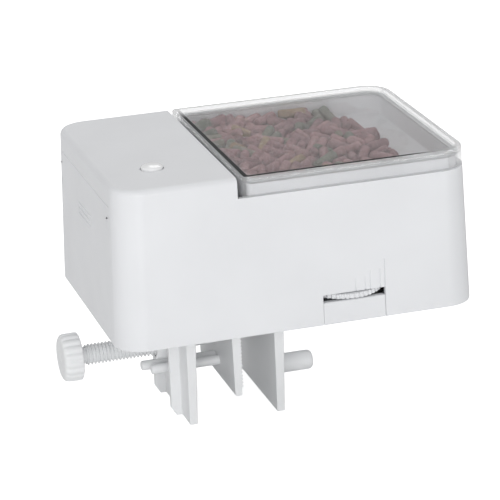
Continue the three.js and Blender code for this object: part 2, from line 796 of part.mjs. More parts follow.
function clampBracket() {
  const top = baseRecess - gap;
  const under = top - clampTopPlate;
  const right = fixedJawX + plateTop + 3;
  const plate = box(nutPlateX - ribReach, right, clampFront, clampBack, under, top);
  let bracket = plate.add(nutPlate()).add(fixedJaw());
  const bossEnd = nutPlateX - bossLength - 1;
  bracket = bracket.subtract(rodX(bossEnd, fixedJawX - 9, clampY, screwZ, threadRadius + gap, 20));
  for (const side of [-1, 1]) {
    const y = clampY + (side * guideSpacing) / 2;
    const hole = rodX(nutPlateX - 1, nutPlateX + plateTop + 1, y, guideZ, guideRadius + gap, 16);
    bracket = bracket.subtract(hole);
  }
  for (const [x, y] of bracketScrews) {
    bracket = bracket.subtract(rodZ(x, y, under - 1, top + 1, screwRadius + gap, 8));
    bracket = bracket.subtract(rodZ(x, y, under - 1, under + 1.8, screwHeadRadius + gap, 10));
  }
  return bracket;
}

// The moving jaw: a plate with a toothed clamping face and two guide rods that slide in the nut plate.
function clampJaw() {
  const face = [];
  const first = jawTopZ - 3;
  const teeth = Math.floor((first + jawDrop - 2) / toothPitch);
  for (let i = 0; i < teeth; i++) {
    const z = first - i * toothPitch;
    face.push([jawFaceX, z], [jawFaceX + toothDepth, z - toothPitch * 0.5]);
  }
  face.push([jawFaceX, first - teeth * toothPitch]);
  let jaw = alongY(
    [
      [jawFaceX, jawTopZ],
      [jawFaceX - jawThickness - 0.5, jawTopZ],
      [jawFaceX - jawThickness, -jawDrop + 0.5],
      [jawFaceX - jawThickness + 0.5, -jawDrop],
      [jawFaceX - 0.5, -jawDrop],
      [jawFaceX, -jawDrop + 0.5],
      ...face.reverse(),
    ],
    clampFront,
    clampBack,
  );
  for (const side of [-1, 1]) {
    const y = clampY + (side * guideSpacing) / 2;
    const tail = nutPlateX - guideTail - (side > 0 ? 2.4 : 0);
    const rod = [
      [0, tail],
      [guideRadius - 0.5, tail],
      [guideRadius, tail + 0.5],
      [guideRadius, jawFaceX - 1],
      [0, jawFaceX - 1],
    ];
    jaw = jaw.add(turnedX(rod, y, guideZ, 20));
  }
  return jaw;
}

const tipX = jawFaceX - jawThickness - 0.5 - gap;

function clampScrew() {
  const threadEnd = nutPlateX + plateTop + 1;
  return turnedX(
    [
      [0, knobFaceX - knobLength + 3],
      [2.4, knobFaceX - knobLength + 3],
      [2.4, knobFaceX + gap],
      [threadRadius, knobFaceX + gap],
      [threadRadius, threadEnd],
      [threadRadius - 1.2, threadEnd + 1],
      [threadRadius - 1.2, tipX - 0.6],
      [threadRadius - 1.8, tipX],
      [0, tipX],
    ],
    clampY,
    screwZ,
    20,
  );
}

function clampKnob() {
  const rim = fluted(knobFlutes, knobRadius, 0.5);
  const knob = alongX(rim, knobFaceX - knobLength, knobFaceX, clampY, screwZ, 1);
  return knob.subtract(rodX(knobFaceX - knobLength + 3 - gap, knobFaceX + 1, clampY, screwZ, 2.4 + gap, 20));
}

// ---------------------------------------------------------------- assembly
add("housing", housing(), whiteShell);
add("base_cover", baseCover(), whiteShell);
add("battery_cover", batteryCover(), whiteShell);
add("outlet_panel", outletPanel(), whiteShell);
add("hopper_bin", hopperBin(), whiteShell);
add("food_fill", foodFill(), foodBrown);
add("lid", lid(), clearLid);
add("lid_seal", lidSeal(), softSeal);
add("button_cap", buttonCap(), whiteShell);
add("circuit_board", circuitBoard(), boardGreen);
add("tact_switch", tactSwitch(), chipBlack);
add("control_chip", box(24, 33, 34, 43, boardZ - gap - 1.4, boardZ - gap), chipBlack);
add("battery_holder", batteryHolder(), chipBlack);
add("battery_lower", cell(cellBottomZ, false), cellBlue);
add("battery_upper", cell(cellTopZ, true), cellBlue);
add("contact_tab_back", contactTab(cellBack + gap + 0.4, cellBottomZ), steel);
add("contact_tab_front", contactTab(cellFront - gap - 0.9, cellTopZ), steel);
add("contact_spring_front", contactSpring(cellFront - holderEnd + 1.6, cellBottomZ, true), steel);
add("contact_spring_back", contactSpring(cellBack + holderEnd - 1.6, cellTopZ, false), steel);
add("gear_frame", gearFrame(), chipBlack);
add("feed_motor", feedMotor(), steel);
add("motor_pinion", gear(pinionTeeth, innerLayerX, motorY, motorZ, motorAngle + Math.PI, 1 + gap), brass);
add("idler_gear", idlerGear(), gearNylon);
add("idler_axle", rodX(frameX, partitionX - gap, idlerY, drumZ, 1, 16), steel);
add("drum_gear", gear(wheelGearTeeth, outerLayerX, drumY, drumZ, 0, shaftRadius + gap), gearNylon);
add("drive_shaft", rodX(frameX, drumX - drumLength / 2 + 5.4, drumY, drumZ, shaftRadius - 0.2, 16), steel);
add("feed_drum", feedDrum(), gearNylon);
add("drum_housing", drumHousing(), whiteShell);
add("portion_wheel", portionWheel(), whiteShell);
add("outlet_chute", outletChute(), whiteShell);
baseScrews.forEach(([x, y], i) => add(`base_screw_${i + 1}`, screwUp(x, y, baseRecess + 0.6, 9, 1), steel));
boardPosts.forEach(([x, y], i) => add(`board_screw_${i + 1}`, screwUp(x, y, boardZ - gap, 5), steel));
framePosts.forEach(([y, z], i) => add(`frame_screw_${i + 1}`, frameScrew(y, z), steel));
add("clamp_bracket", clampBracket(), whiteClamp);
add("clamp_jaw", clampJaw(), whiteClamp);
add("clamp_screw", clampScrew(), whiteClamp);
add("clamp_knob", clampKnob(), whiteClamp);
bracketScrews.forEach(([x, y], i) =>
  add(`bracket_screw_${i + 1}`, screwUp(x, y, baseRecess - gap - clampTopPlate + 1.5, 5, 1.2), steel),
);

// The origin is under the middle of the whole feeder, on the level of the clamp's feet.
const leftEnd = knobFaceX - knobLength;
const rightEnd = width + draft;
const frontEnd = wheelY - wheelRadius;
const backEnd = depth + (draft * centreY) / centreX;
feeder.position.set(-(leftEnd + rightEnd) / 2, -(frontEnd + backEnd) / 2, clampDrop);

export default feeder;
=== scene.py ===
import math

import bmesh
import bpy
import numpy as np
from mathutils import Matrix, Quaternion, Vector


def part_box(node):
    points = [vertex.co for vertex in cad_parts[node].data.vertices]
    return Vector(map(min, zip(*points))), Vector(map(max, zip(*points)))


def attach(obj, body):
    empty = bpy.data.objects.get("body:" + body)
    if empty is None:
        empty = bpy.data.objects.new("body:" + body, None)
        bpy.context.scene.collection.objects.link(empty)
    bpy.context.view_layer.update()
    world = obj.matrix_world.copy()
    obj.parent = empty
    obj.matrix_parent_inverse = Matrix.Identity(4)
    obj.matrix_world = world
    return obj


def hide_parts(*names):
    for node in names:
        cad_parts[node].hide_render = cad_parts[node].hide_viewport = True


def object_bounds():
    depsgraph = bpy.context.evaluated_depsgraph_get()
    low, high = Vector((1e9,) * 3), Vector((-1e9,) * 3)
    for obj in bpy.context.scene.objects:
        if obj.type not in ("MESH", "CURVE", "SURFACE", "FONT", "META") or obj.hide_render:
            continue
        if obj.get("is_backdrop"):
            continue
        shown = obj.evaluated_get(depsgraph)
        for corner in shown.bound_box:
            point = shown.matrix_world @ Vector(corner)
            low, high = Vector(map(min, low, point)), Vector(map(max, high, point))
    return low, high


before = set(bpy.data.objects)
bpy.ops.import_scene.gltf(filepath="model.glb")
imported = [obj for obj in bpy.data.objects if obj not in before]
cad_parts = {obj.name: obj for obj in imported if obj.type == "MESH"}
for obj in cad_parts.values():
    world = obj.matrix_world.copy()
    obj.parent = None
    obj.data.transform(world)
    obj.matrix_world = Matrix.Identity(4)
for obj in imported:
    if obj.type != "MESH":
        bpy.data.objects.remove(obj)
cad_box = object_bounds()

# ---------------------------------------------------------------- studio
# A camera a little to the left of the feeder and above it, a pale floor under the clamp's feet,
# a white surround and three soft boxes: low in front, high on the left and high behind.
LENS = 187.06
CAMERA_PLACE = Vector((-0.23515, -0.82605, 0.356))
CAMERA_LOOK = Vector((0.2594, 0.9068, -0.3324))
CAMERA_ROLL = math.radians(-2.552)
SURROUND_LIGHT, SURROUND_SEEN = 0.56, 1.0  # as it lights the feeder, and as the camera sees it
FLOOR_SIZE, FLOOR_GLOW = 30, 0.7
SOFT_BOXES = [  # name, place, aims at, width, watts
    ("front_box", (-0.30, -1.10, 0.22), (0.0, 0.0, 0.02), 0.7, 6.0),
    ("left_box", (-0.95, -0.10, 0.75), (0.0, 0.0, 0.05), 0.6, 0.8),
    ("back_box", (0.35, 0.75, 0.95), (0.0, 0.0, 0.05), 0.6, 2.6),
]


def in_scene(name, data):
    """A new object with this data, in the scene."""
    thing = bpy.data.objects.new(name, data)
    bpy.context.scene.collection.objects.link(thing)
    return thing


def fed(node, inputs):
    """Gives a node's inputs their values, or links them where the value is another's output."""
    for socket, value in inputs.items():
        if isinstance(value, bpy.types.NodeSocket):
            node.id_data.links.new(value, node.inputs[socket])
        else:
            node.inputs[socket].default_value = value
    return node


def new_node(tree, kind, inputs=None, **settings):
    """A new node: its settings first, then its inputs."""
    node = tree.nodes.new(kind)
    for setting, value in settings.items():
        setattr(node, setting, value)
    return fed(node, inputs or {})


def math_in(tree, operation, *inputs):
    """The result of a Math node."""
    return new_node(tree, "ShaderNodeMath", dict(enumerate(inputs)), operation=operation).outputs[0]


def ranged(tree, value, low, high, to_low, to_high):
    """A value mapped from one range to another, held at its ends."""
    ends = {"From Min": low, "From Max": high, "To Min": to_low, "To Max": to_high}
    return new_node(tree, "ShaderNodeMapRange", {"Value": value, **ends}).outputs["Result"]


def new_material(name):
    """A new material, its node tree and its shader."""
    material = bpy.data.materials.new(name)
    material.use_nodes = True
    return material, material.node_tree, material.node_tree.nodes["Principled BSDF"]


camera_data = bpy.data.cameras.new("camera")
camera_data.lens = LENS
camera = in_scene("camera", camera_data)
camera.location = CAMERA_PLACE
aimed = CAMERA_LOOK.to_track_quat("-Z", "Y") @ Quaternion((0, 0, 1), CAMERA_ROLL)
camera.rotation_euler = aimed.to_euler()
bpy.context.scene.camera = camera
bpy.context.scene.view_settings.view_transform = "Standard"

world = bpy.data.worlds.new("surround")
world.use_nodes = True
tree = world.node_tree
in_view = new_node(tree, "ShaderNodeLightPath").outputs["Is Camera Ray"]
strength = ranged(tree, in_view, 0, 1, SURROUND_LIGHT, SURROUND_SEEN)
fed(tree.nodes["Background"], {"Color": (1, 1, 1, 1), "Strength": strength})
bpy.context.scene.world = world

for name, place, aim, width, watts in SOFT_BOXES:
    light = bpy.data.lights.new(name, "AREA")
    light.shape, light.size, light.energy = "SQUARE", width, watts
    lamp = in_scene(name, light)
    lamp.location = place
    lamp.rotation_euler = (Vector(aim) - Vector(place)).to_track_quat("-Z", "Y").to_euler()

half = FLOOR_SIZE / 2
floor_mesh = bpy.data.meshes.new("floor")
floor_corners = [(-half, -half, 0), (half, -half, 0), (half, half, 0), (-half, half, 0)]
floor_mesh.from_pydata(floor_corners, [], [(0, 1, 2, 3)])
floor = in_scene("floor", floor_mesh)
paper, tree, shader = new_material("floor_paper")
in_view = new_node(tree, "ShaderNodeLightPath").outputs["Is Camera Ray"]
glow = math_in(tree, "MULTIPLY", in_view, FLOOR_GLOW)
fed(shader, {"Base Color": (0.92, 0.92, 0.92, 1), "Roughness": 0.9})
fed(shader, {"Emission Color": (1, 1, 1, 1), "Emission Strength": glow})
floor_mesh.materials.append(paper)
floor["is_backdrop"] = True

# ---------------------------------------------------------------- housing
# One white ABS moulding, open underneath: its left end is a closed block for the timer and the
# cells, and the rest is walls only, up to the lid. Fine satin texture, sides leaning in 0.9 mm.
WIDTH, DEPTH, HEIGHT = 125.0, 90.0, 55.5  # millimetres, as are all sizes of the pieces
CORNER = 10.0
LEAN = 0.9
WALL = 1.8
GAP = 0.3
SEAM = 0.07  # gap of a close-fitting plate
TOP_EDGE = 1.8
BLOCK_RIGHT = 42.2
LID_LEFT = 44.0
SKIRT_UNDER = 48.9
WALL_TOP = SKIRT_UNDER - GAP
DOOR_FRONT, DOOR_BACK, DOOR_TOP = 11.0, 80.0, 48.5
SLOT_LEFT, SLOT_RIGHT, SLOT_UNDER, SLOT_TOP, SLOT_DEEP = 70.2, 92.4, 8.3, 10.7, 3.8
BUTTON_X, BUTTON_Y, BUTTON_RADIUS = 19.3, 23.7, 3.75
PORTION_MARKS = [(0, 10), (1.7, 6.8), (5.2, 6.8), (7, 4.4), (10.4, 4.4)]  # from the right, length
MARK_WIDTH, MARK_DEPTH = 0.3, 0.25
BEYOND = 9.0  # how far a cutter reaches past the housing
ABS_WHITE = (0.80, 0.81, 0.83)

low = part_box("housing")[0]
HOUSING_CORNER = low + Vector((LEAN, LEAN * DEPTH / WIDTH, 0)) / 1000
TO_FRAME = Matrix.Translation(HOUSING_CORNER) @ Matrix.Scale(0.001, 4)


def lean_at(z):
    """How much wider the feeder is at height z than halfway up."""
    return 1 + LEAN / (WIDTH / 2) * (1 - 2 * z / HEIGHT)


def leaning(x, y, z):
    """A point of an upright wall, moved in or out by the sides' lean at its height."""
    grow = lean_at(z)
    return (WIDTH / 2 + (x - WIDTH / 2) * grow, DEPTH / 2 + (y - DEPTH / 2) * grow, z)


def rounded(x0, x1, y0, y1, radii, z, steps=8):
    """A rectangle with its corners rounded, anticlockwise from the front left, at height z."""
    corners = [(x0, y0, 180), (x1, y0, 270), (x1, y1, 0), (x0, y1, 90)]
    ring = []
    for (x, y, start), radius in zip(corners, radii):
        cx = x + radius if x == x0 else x - radius
        cy = y + radius if y == y0 else y - radius
        for i in range(steps + 1):
            turn = math.radians(start + 90 * i / steps)
            ring.append((cx + radius * math.cos(turn), cy + radius * math.sin(turn), z))
    return ring


def form(inset, z, left=None, left_radius=None):
    """The outer form that housing, lid and bin share, shrunk by inset, at height z."""
    x0 = inset if left is None else WIDTH / 2 + (left - WIDTH / 2) / lean_at(z)
    radius = max(CORNER - inset, 1)
    near = radius if left_radius is None else left_radius
    ring = rounded(x0, WIDTH - inset, inset, DEPTH - inset, (near, radius, radius, near), z)
    return [leaning(*point) for point in ring]


def top_edge(radius, steps):
    """The insets and heights of rings that round the edge of the top."""
    turns = [math.radians(90 * i / steps) for i in range(steps + 1)]
    return [(radius * (1 - math.cos(a)), HEIGHT - radius + radius * math.sin(a)) for a in turns]


def skin(name, rings, closed=False):
    """A mesh through rings of equally many points; its two end rings are filled, or joined."""
    count = len(rings[0])
    points = [point for ring in rings for point in ring]
    faces = []
    for i in range(len(rings) if closed else len(rings) - 1):
        near, far = i * count, (i + 1) % len(rings) * count
        for j in range(count):
            k = (j + 1) % count
            faces.append((near + j, near + k, far + k, far + j))
    if not closed:
        faces.append(tuple(reversed(range(count))))
        faces.append(tuple(range((len(rings) - 1) * count, len(rings) * count)))
    mesh = bpy.data.meshes.new(name)
    mesh.from_pydata(points, [], faces)
    shape = bmesh.new()
    shape.from_mesh(mesh)
    bmesh.ops.recalc_face_normals(shape, faces=shape.faces)
    shape.to_mesh(mesh)
    shape.free()
    return in_scene(name, mesh)


def block(x0, x1, y0, y1, z0, z1):
    """A block between these planes."""
    corners = [(x0, y0), (x1, y0), (x1, y1), (x0, y1)]
    return skin("block", [[(x, y, z) for x, y in corners] for z in (z0, z1)])


def turned(name, profile, axis, centre, sides=48):
    """A turned piece from [radius, place along the axis]; its ends are closed."""
    rings = []
    for radius, along in profile:
        ring = []
        for i in range(sides):
            a = 2 * math.pi * i / sides
            u, v = max(radius, 1e-3) * math.cos(a), max(radius, 1e-3) * math.sin(a)
            if axis == "x":
                ring.append((along, centre[0] + u, centre[1] + v))
            elif axis == "y":
                ring.append((centre[0] + v, along, centre[1] + u))
            else:
                ring.append((centre[0] + u, centre[1] + v, along))
        rings.append(ring)
    return skin(name, rings)


def cylinder(radius, start, end, axis, centre, sides=48):
    """A plain cylinder along an axis."""
    return turned("cylinder", [(radius, start), (radius, end)], axis, centre, sides)


def settle_modifiers(piece):
    """The piece's mesh as its modifiers leave it, with the modifiers gone."""
    bpy.context.view_layer.update()
    evaluated = piece.evaluated_get(bpy.context.evaluated_depsgraph_get())
    mesh = bpy.data.meshes.new_from_object(evaluated)
    piece.modifiers.clear()
    old, piece.data = piece.data, mesh
    bpy.data.meshes.remove(old)


def joined(piece, others, operation="UNION"):
    """Adds the other solids to the piece, or cuts them out of it, and removes them."""
    for other in others:
        change = piece.modifiers.new("join", "BOOLEAN")
        change.object, change.operation, change.solver = other, operation, "EXACT"
        settle_modifiers(piece)
        bpy.data.objects.remove(other)
    return piece


def cut(piece, others):
    """Cuts the other solids out of the piece, and removes them."""
    return joined(piece, others, "DIFFERENCE")


def softened(piece, width=0, segments=2, limit=35):
    """Rounds the piece's sharp edges by width, where one is given, and shades it smooth."""
    nearly = 0.002  # points this close are one
    shape = bmesh.new()
    shape.from_mesh(piece.data)
    bmesh.ops.remove_doubles(shape, verts=shape.verts, dist=nearly)
    bmesh.ops.dissolve_degenerate(shape, edges=shape.edges, dist=nearly)
    shape.to_mesh(piece.data)
    shape.free()
    if width:
        bevel = piece.modifiers.new("edges", "BEVEL")
        bevel.width, bevel.segments = width, segments
        bevel.limit_method, bevel.angle_limit = "ANGLE", math.radians(limit)
        bevel.use_clamp_overlap = False
        bevel.miter_outer = "MITER_ARC"
        settle_modifiers(piece)
    piece.data.shade_smooth()
    piece.data.set_sharp_from_angle(angle=math.radians(limit + 8))
    weight = piece.modifiers.new("normals", "WEIGHTED_NORMAL")
    weight.keep_sharp = True
    weight.weight = 60
    settle_modifiers(piece)
    return piece


def dressed(piece, material):
    """Puts the finished piece in the shared frame, in metres, with its one material."""
    piece.data.transform(TO_FRAME)
    piece.data.materials.clear()
    piece.data.materials.append(material)
    return piece


def new_group(name, inputs, outputs):
    """An empty shader node group with these inputs and outputs."""
    group = bpy.data.node_groups.new(name, "ShaderNodeTree")
    for label, kind, value in inputs:
        socket = group.interface.new_socket(label, in_out="INPUT", socket_type=kind)
        socket.default_value = value
    for label, kind in outputs:
        group.interface.new_socket(label, in_out="OUTPUT", socket_type=kind)
    return group, group.nodes.new("NodeGroupInput"), group.nodes.new("NodeGroupOutput")


def noise_in(tree, size_mm, detail, roughness=0.5):
    """Noise on object coordinates whose features are about size_mm across."""
    place = new_node(tree, "ShaderNodeTexCoord").outputs["Object"]
    inputs = {"Vector": place, "Scale": 1000 / size_mm, "Detail": detail, "Roughness": roughness}
    return new_node(tree, "ShaderNodeTexNoise", inputs).outputs["Fac"]


def bumped(tree, height, strength, depth_mm):
    """The normal of a surface whose relief is depth_mm deep."""
    inputs = {"Height": height, "Strength": strength, "Distance": depth_mm / 1000}
    return new_node(tree, "ShaderNodeBump", inputs).outputs["Normal"]


# Moulded plastic: spark-eroded grain in the surface, faint flow clouding in the colour, and
# patches that handling has left a little glossier.
moulded_surface, given, put = new_group(
    "moulded_surface",
    [
        ("Colour", "NodeSocketColor", (0.8, 0.8, 0.8, 1)),
        ("Clouding", "NodeSocketFloat", 0.03),
        ("Dull", "NodeSocketFloat", 0.45),
        ("Polished", "NodeSocketFloat", 0.35),
    ],
    [("Colour", "NodeSocketColor"), ("Roughness", "NodeSocketFloat"), ("Height", "NodeSocketFloat")],
)
grain = noise_in(moulded_surface, 0.45, 2)
clouds = ranged(moulded_surface, noise_in(moulded_surface, 38, 3), 0.35, 0.65, 0, 1)
handled = noise_in(moulded_surface, 14, 4, roughness=0.6)
glossy_share = ranged(moulded_surface, handled, 0.4, 0.65, 0, 1)
clouded = math_in(moulded_surface, "MULTIPLY", clouds, given.outputs["Clouding"])
shade = {0: given.outputs["Colour"], "Scale": math_in(moulded_surface, "SUBTRACT", 1, clouded)}
shaded = new_node(moulded_surface, "ShaderNodeVectorMath", shade, operation="SCALE")
finishes = {"Factor": glossy_share, "A": given.outputs["Dull"], "B": given.outputs["Polished"]}
gloss = new_node(moulded_surface, "ShaderNodeMix", finishes)
fed(put, {"Colour": shaded.outputs["Vector"], "Roughness": gloss.outputs["Result"], "Height": grain})


def moulded(name, colour, dull=0.46, polished=0.36, clouding=0.035, grain_mm=0.012, coat=0.0):
    """A moulded plastic: its colour, how dull and how polished it is, and its grain's depth."""
    material, tree, shader = new_material(name)
    inputs = {"Colour": (*colour, 1), "Clouding": clouding, "Dull": dull, "Polished": polished}
    surface = new_node(tree, "ShaderNodeGroup", inputs, node_tree=moulded_surface).outputs
    fed(shader, {"Base Color": surface["Colour"], "Roughness": surface["Roughness"]})
    fed(shader, {"Normal": bumped(tree, surface["Height"], 0.5, grain_mm)})
    if coat:
        fed(shader, {"Coat Weight": coat, "Coat Roughness": 0.08})
    return material


abs_white = moulded("abs_white", ABS_WHITE)

rings = [form(0.4, 0), form(0.1, 0.1), form(0, 0.4)]
rings += [form(inset, z) for inset, z in top_edge(TOP_EDGE, 6)]
housing = skin("housing_shell", rings)
cut(housing, [skin("hollow", [form(WALL, z) for z in (-1, HEIGHT - WALL)])])
PAST_RIGHT, PAST_BACK, PAST_TOP = WIDTH + BEYOND, DEPTH + BEYOND, HEIGHT + BEYOND
cut(housing, [block(BLOCK_RIGHT, PAST_RIGHT, -BEYOND, PAST_BACK, WALL_TOP, PAST_TOP)])
joined(housing, [block(BLOCK_RIGHT - WALL, BLOCK_RIGHT, 1.0, DEPTH - 1.0, 2.5, HEIGHT - 1.0)])
door_hole = (DOOR_FRONT + GAP - SEAM, DOOR_BACK - GAP + SEAM, -1, DOOR_TOP - GAP + SEAM)
cut(housing, [block(-BEYOND, WALL + LEAN + GAP, *door_hole)])
cut(housing, [block(SLOT_LEFT, SLOT_RIGHT, -BEYOND, SLOT_DEEP, -1, SLOT_TOP)])
button_place = ("z", (BUTTON_X, BUTTON_Y))
cut(housing, [cylinder(BUTTON_RADIUS + GAP, HEIGHT - WALL - 1, HEIGHT + 1, *button_place)])
for from_right, length in PORTION_MARKS:
    x = SLOT_RIGHT - MARK_WIDTH - from_right
    bottom = leaning(x, 0, SLOT_TOP + length)[1] + MARK_DEPTH
    cut(housing, [block(x, x + MARK_WIDTH, -1.2, bottom, SLOT_TOP - 1, SLOT_TOP + length)])
softened(housing, 0.12)
dressed(housing, abs_white)
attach(housing, "root")
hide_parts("housing")

# ---------------------------------------------------------------- lid
# A clear styrene cap over the bin: a flat top and a skirt down to the housing's walls, square
# where it meets the timer block. It pulls straight up; the silicone ring under it grips the bin.
LID_WALL, LID_TOP, LID_EDGE = 1.5, 1.4, 0.8
LID_UNDER = HEIGHT - LID_TOP
THICK_SKIRT = 0.3
CLEAR_TOP, CLEAR_EDGE = 0.17, 0.62  # opacity across the top, and round its edge
# How dark the painted reflection on the top's edge is: along the front, and elsewhere.
PAINTED_BLACK_EDGE, PAINTED_GREY_EDGE = 1.0, 0.14
# Inset, height and left corners' radius of each ring, from inside the top to its outer face.
lid_profile = [(LID_WALL + inset, LID_UNDER, 0.3) for inset in (2.5, 1.0, 0.4)]
lid_profile += [(LID_WALL, z, 0.4) for z in (LID_UNDER - 0.4, LID_UNDER - 0.9, SKIRT_UNDER + 0.15)]
lid_profile += [(LID_WALL - 0.15, SKIRT_UNDER, 0.5), (0.2, SKIRT_UNDER, 0.5)]
lid_profile += [(0, SKIRT_UNDER + 0.2, 0.6)]
skirt_rings = len(lid_profile)
lid_profile += [(inset, z, 0.6) for inset, z in top_edge(LID_EDGE, 4)]
lid_profile += [(inset, HEIGHT, 0.4) for inset in (0.9, 2.1, 2.4)]
rings = [form(inset, z, LID_LEFT + inset, radius) for inset, z, radius in lid_profile]
lid = skin("lid_cap", rings)
ring_size, last = len(rings[0]), len(rings) - 1
# How thick the styrene looks: 1 round the top's edge, less in the skirt, 0 across the top.
edge_share = lid.data.attributes.new("edge", "FLOAT", "POINT")
for i, mark in enumerate(edge_share.data):
    ring_index = i // ring_size
    skirt_or_edge = THICK_SKIRT if ring_index < skirt_rings else 1.0
    mark.value = 0.0 if ring_index in (0, 1, last) else skirt_or_edge
# A painted dark reflection round the top's edge, standing in for the light that the clear edge traps:
# black along the front, and faintly grey elsewhere.
painted_dark_share = lid.data.attributes.new("painted_dark_edge", "FLOAT", "POINT")
for i, (vertex, mark) in enumerate(zip(lid.data.vertices, painted_dark_share.data)):
    at_front = vertex.co.y < 4 and vertex.co.x < LID_LEFT + 6
    share = PAINTED_BLACK_EDGE if at_front else PAINTED_GREY_EDGE
    mark.value = share if i // ring_size in (last - 2, last - 1) else 0.0
softened(lid, limit=50)


def mark_in(tree, name):
    """The value that a mesh attribute gives."""
    return new_node(tree, "ShaderNodeAttribute", attribute_name=name).outputs["Fac"]


clear_styrene, tree, shader = new_material("clear_styrene")
# Where the painted dark reflection is marked, the styrene turns black, opaque and rough.
painted_dark_edge = mark_in(tree, "painted_dark_edge")
thickness = ranged(tree, mark_in(tree, "edge"), 0, 1, CLEAR_TOP, CLEAR_EDGE)
opacity = math_in(tree, "MAXIMUM", thickness, ranged(tree, painted_dark_edge, 0.06, 0.25, 0, 0.97))
painted_darkness = ranged(tree, painted_dark_edge, 0.06, 0.25, 0, 1)
tints = {"Factor": painted_darkness, "A": (0.97, 0.97, 0.98, 1), "B": (0.01, 0.01, 0.01, 1)}
tint = new_node(tree, "ShaderNodeMix", tints, data_type="RGBA")
haze = ranged(tree, noise_in(tree, 9, 5, roughness=0.65), 0.4, 0.7, 0.015, 0.05)
fed(shader, {"Transmission Weight": 0.78, "IOR": 1.5, "Alpha": opacity})
dull_share = math_in(tree, "MAXIMUM", haze, painted_darkness)
fed(shader, {"Base Color": tint.outputs["Result"], "Roughness": dull_share})
dressed(lid, clear_styrene)
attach(lid, "lid")
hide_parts("lid")

# ---------------------------------------------------------------- bin
# The food bin hangs inside the housing's walls: an upright white rim, and a funnel down to the
# drum's throat at the front. ABS like the housing, with a smoother face.
BIN_INSET = WALL + GAP
BIN_WALL = 1.4
BIN_TOP = 52.6
RIM_UNDER, FUNNEL_TOP = 45.6, 46.1
RIM_CORNER, THROAT_CORNER = 2.5, 1.0
BIN_LEFT = LID_LEFT + LID_WALL + GAP
DRUM_X, DRUM_Y, DRUM_Z, DRUM_RADIUS, DRUM_LENGTH = 81.3, 22.0, 19.6, 8.0, 19.0
THROAT_Z = DRUM_Z + DRUM_RADIUS + GAP


def rim_rings(profile):
    """Rings of the bin's upright rim, from [inset, height]."""
    return [form(BIN_INSET + inset, z, BIN_LEFT + inset, RIM_CORNER) for inset, z in profile]


def throat_ring(grown, z):
    """A ring of the throat over the drum, grown outwards, at height z."""
    x0, x1 = DRUM_X - DRUM_LENGTH / 2 - grown, DRUM_X + DRUM_LENGTH / 2 + grown
    y0, y1 = DRUM_Y - DRUM_RADIUS - grown, DRUM_Y + DRUM_RADIUS + grown
    return rounded(x0, x1, y0, y1, (THROAT_CORNER,) * 4, z)


outside = [(0.3, BIN_TOP), (0.06, BIN_TOP - 0.1), (0, BIN_TOP - 0.35)]
outside += [(0, RIM_UNDER + 0.3), (0.3, RIM_UNDER), (0.7, RIM_UNDER - 0.2)]
inside = [(BIN_WALL + 0.8, FUNNEL_TOP - 0.4), (BIN_WALL + 0.2, FUNNEL_TOP)]
inside += [(BIN_WALL, FUNNEL_TOP + 0.8), (BIN_WALL, BIN_TOP - 0.35), (BIN_WALL - 0.3, BIN_TOP)]
throat = [throat_ring(grown, THROAT_Z + GAP) for grown in (BIN_WALL, 0)]
hopper = skin("food_bin", rim_rings(outside) + throat + rim_rings(inside), closed=True)
softened(hopper)
dressed(hopper, moulded("abs_bin", ABS_WHITE, dull=0.4, polished=0.3))
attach(hopper, "root")
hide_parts("hopper_bin")

# ---------------------------------------------------------------- lid seal
# A flat silicone ring pressed on the bin's rim, under the lid's top.
SEAL_Z = HEIGHT - LID_TOP - GAP
seal_profile = [(0.4, SEAL_Z), (0.2, SEAL_Z - 0.2), (0.2, SEAL_Z - 0.75), (0.35, SEAL_Z - 0.9)]
seal_profile += [(1.8, SEAL_Z - 0.9), (2.0, SEAL_Z - 0.7), (2.0, SEAL_Z - 0.15), (1.85, SEAL_Z)]
seal = skin("lid_ring", rim_rings(seal_profile), closed=True)
softened(seal)
silicone = moulded("silicone", (0.62, 0.64, 0.65), dull=0.6, polished=0.5, grain_mm=0.006)
dressed(seal, silicone)
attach(seal, "lid")
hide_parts("lid_seal")

# ---------------------------------------------------------------- food
# Dry pressed sticks, 3 to 4 mm thick, lying in a level heap that falls away to the back right.
# They are settled against each other here, then set in place one stick shape at a time; a bed
# of the same food fills the funnel under them.
FOOD_TOP = 51.0
HEAP_EDGE, HEAP_BOW = 104, 7  # where the level part ends, and how far that line bows
HEAP_FALL, HEAP_BACK_FALL, HEAP_FRONT_FALL = 22, 2.2, 1.2
STICKS_DRAWN, STICK_LAYERS, LAYER_STEP = 520, 3, 3.3
STICK_RADIUS = 1.8
STICK_MARGIN = 1.2  # a settled stick's end keeps about twice this from the bin's walls
SETTLE_STEPS, PUSH, PULL = 170, 0.28, 0.06
LID_CLEAR = 52.9  # ceiling over the settled sticks; the proud ones pass it
STEEPEST = 0.45
LEAST_HEAP = 1.5  # where the heap is thinner over the funnel, no stick lies
PROUD_HALF, PROUD_RADIUS = 4.2, 2.1
PROUD_STICKS = [  # middle, direction
    ((50, 79, 50.2), (0.8, -0.35, 0.42)),
    ((57, 82, 50.0), (0.9, 0.25, 0.2)),
    ((63, 76, 49.8), (0.7, 0.6, 0.3)),
]


def heap_top(x, y):
    """Height of the heap's surface: level, then falling to the right and most at the back."""
    edge = HEAP_EDGE - HEAP_BOW * ((y - 48) / 40) ** 2
    fall = np.clip((x - edge + 3) / 16, 0, 1)
    slope_back = HEAP_BACK_FALL * np.clip((y - 45) / 38, 0, 1)
    slope_front = HEAP_FRONT_FALL * np.clip((24 - y) / 20, 0, 1)
    return FOOD_TOP - HEAP_FALL * fall**1.6 - slope_back - slope_front


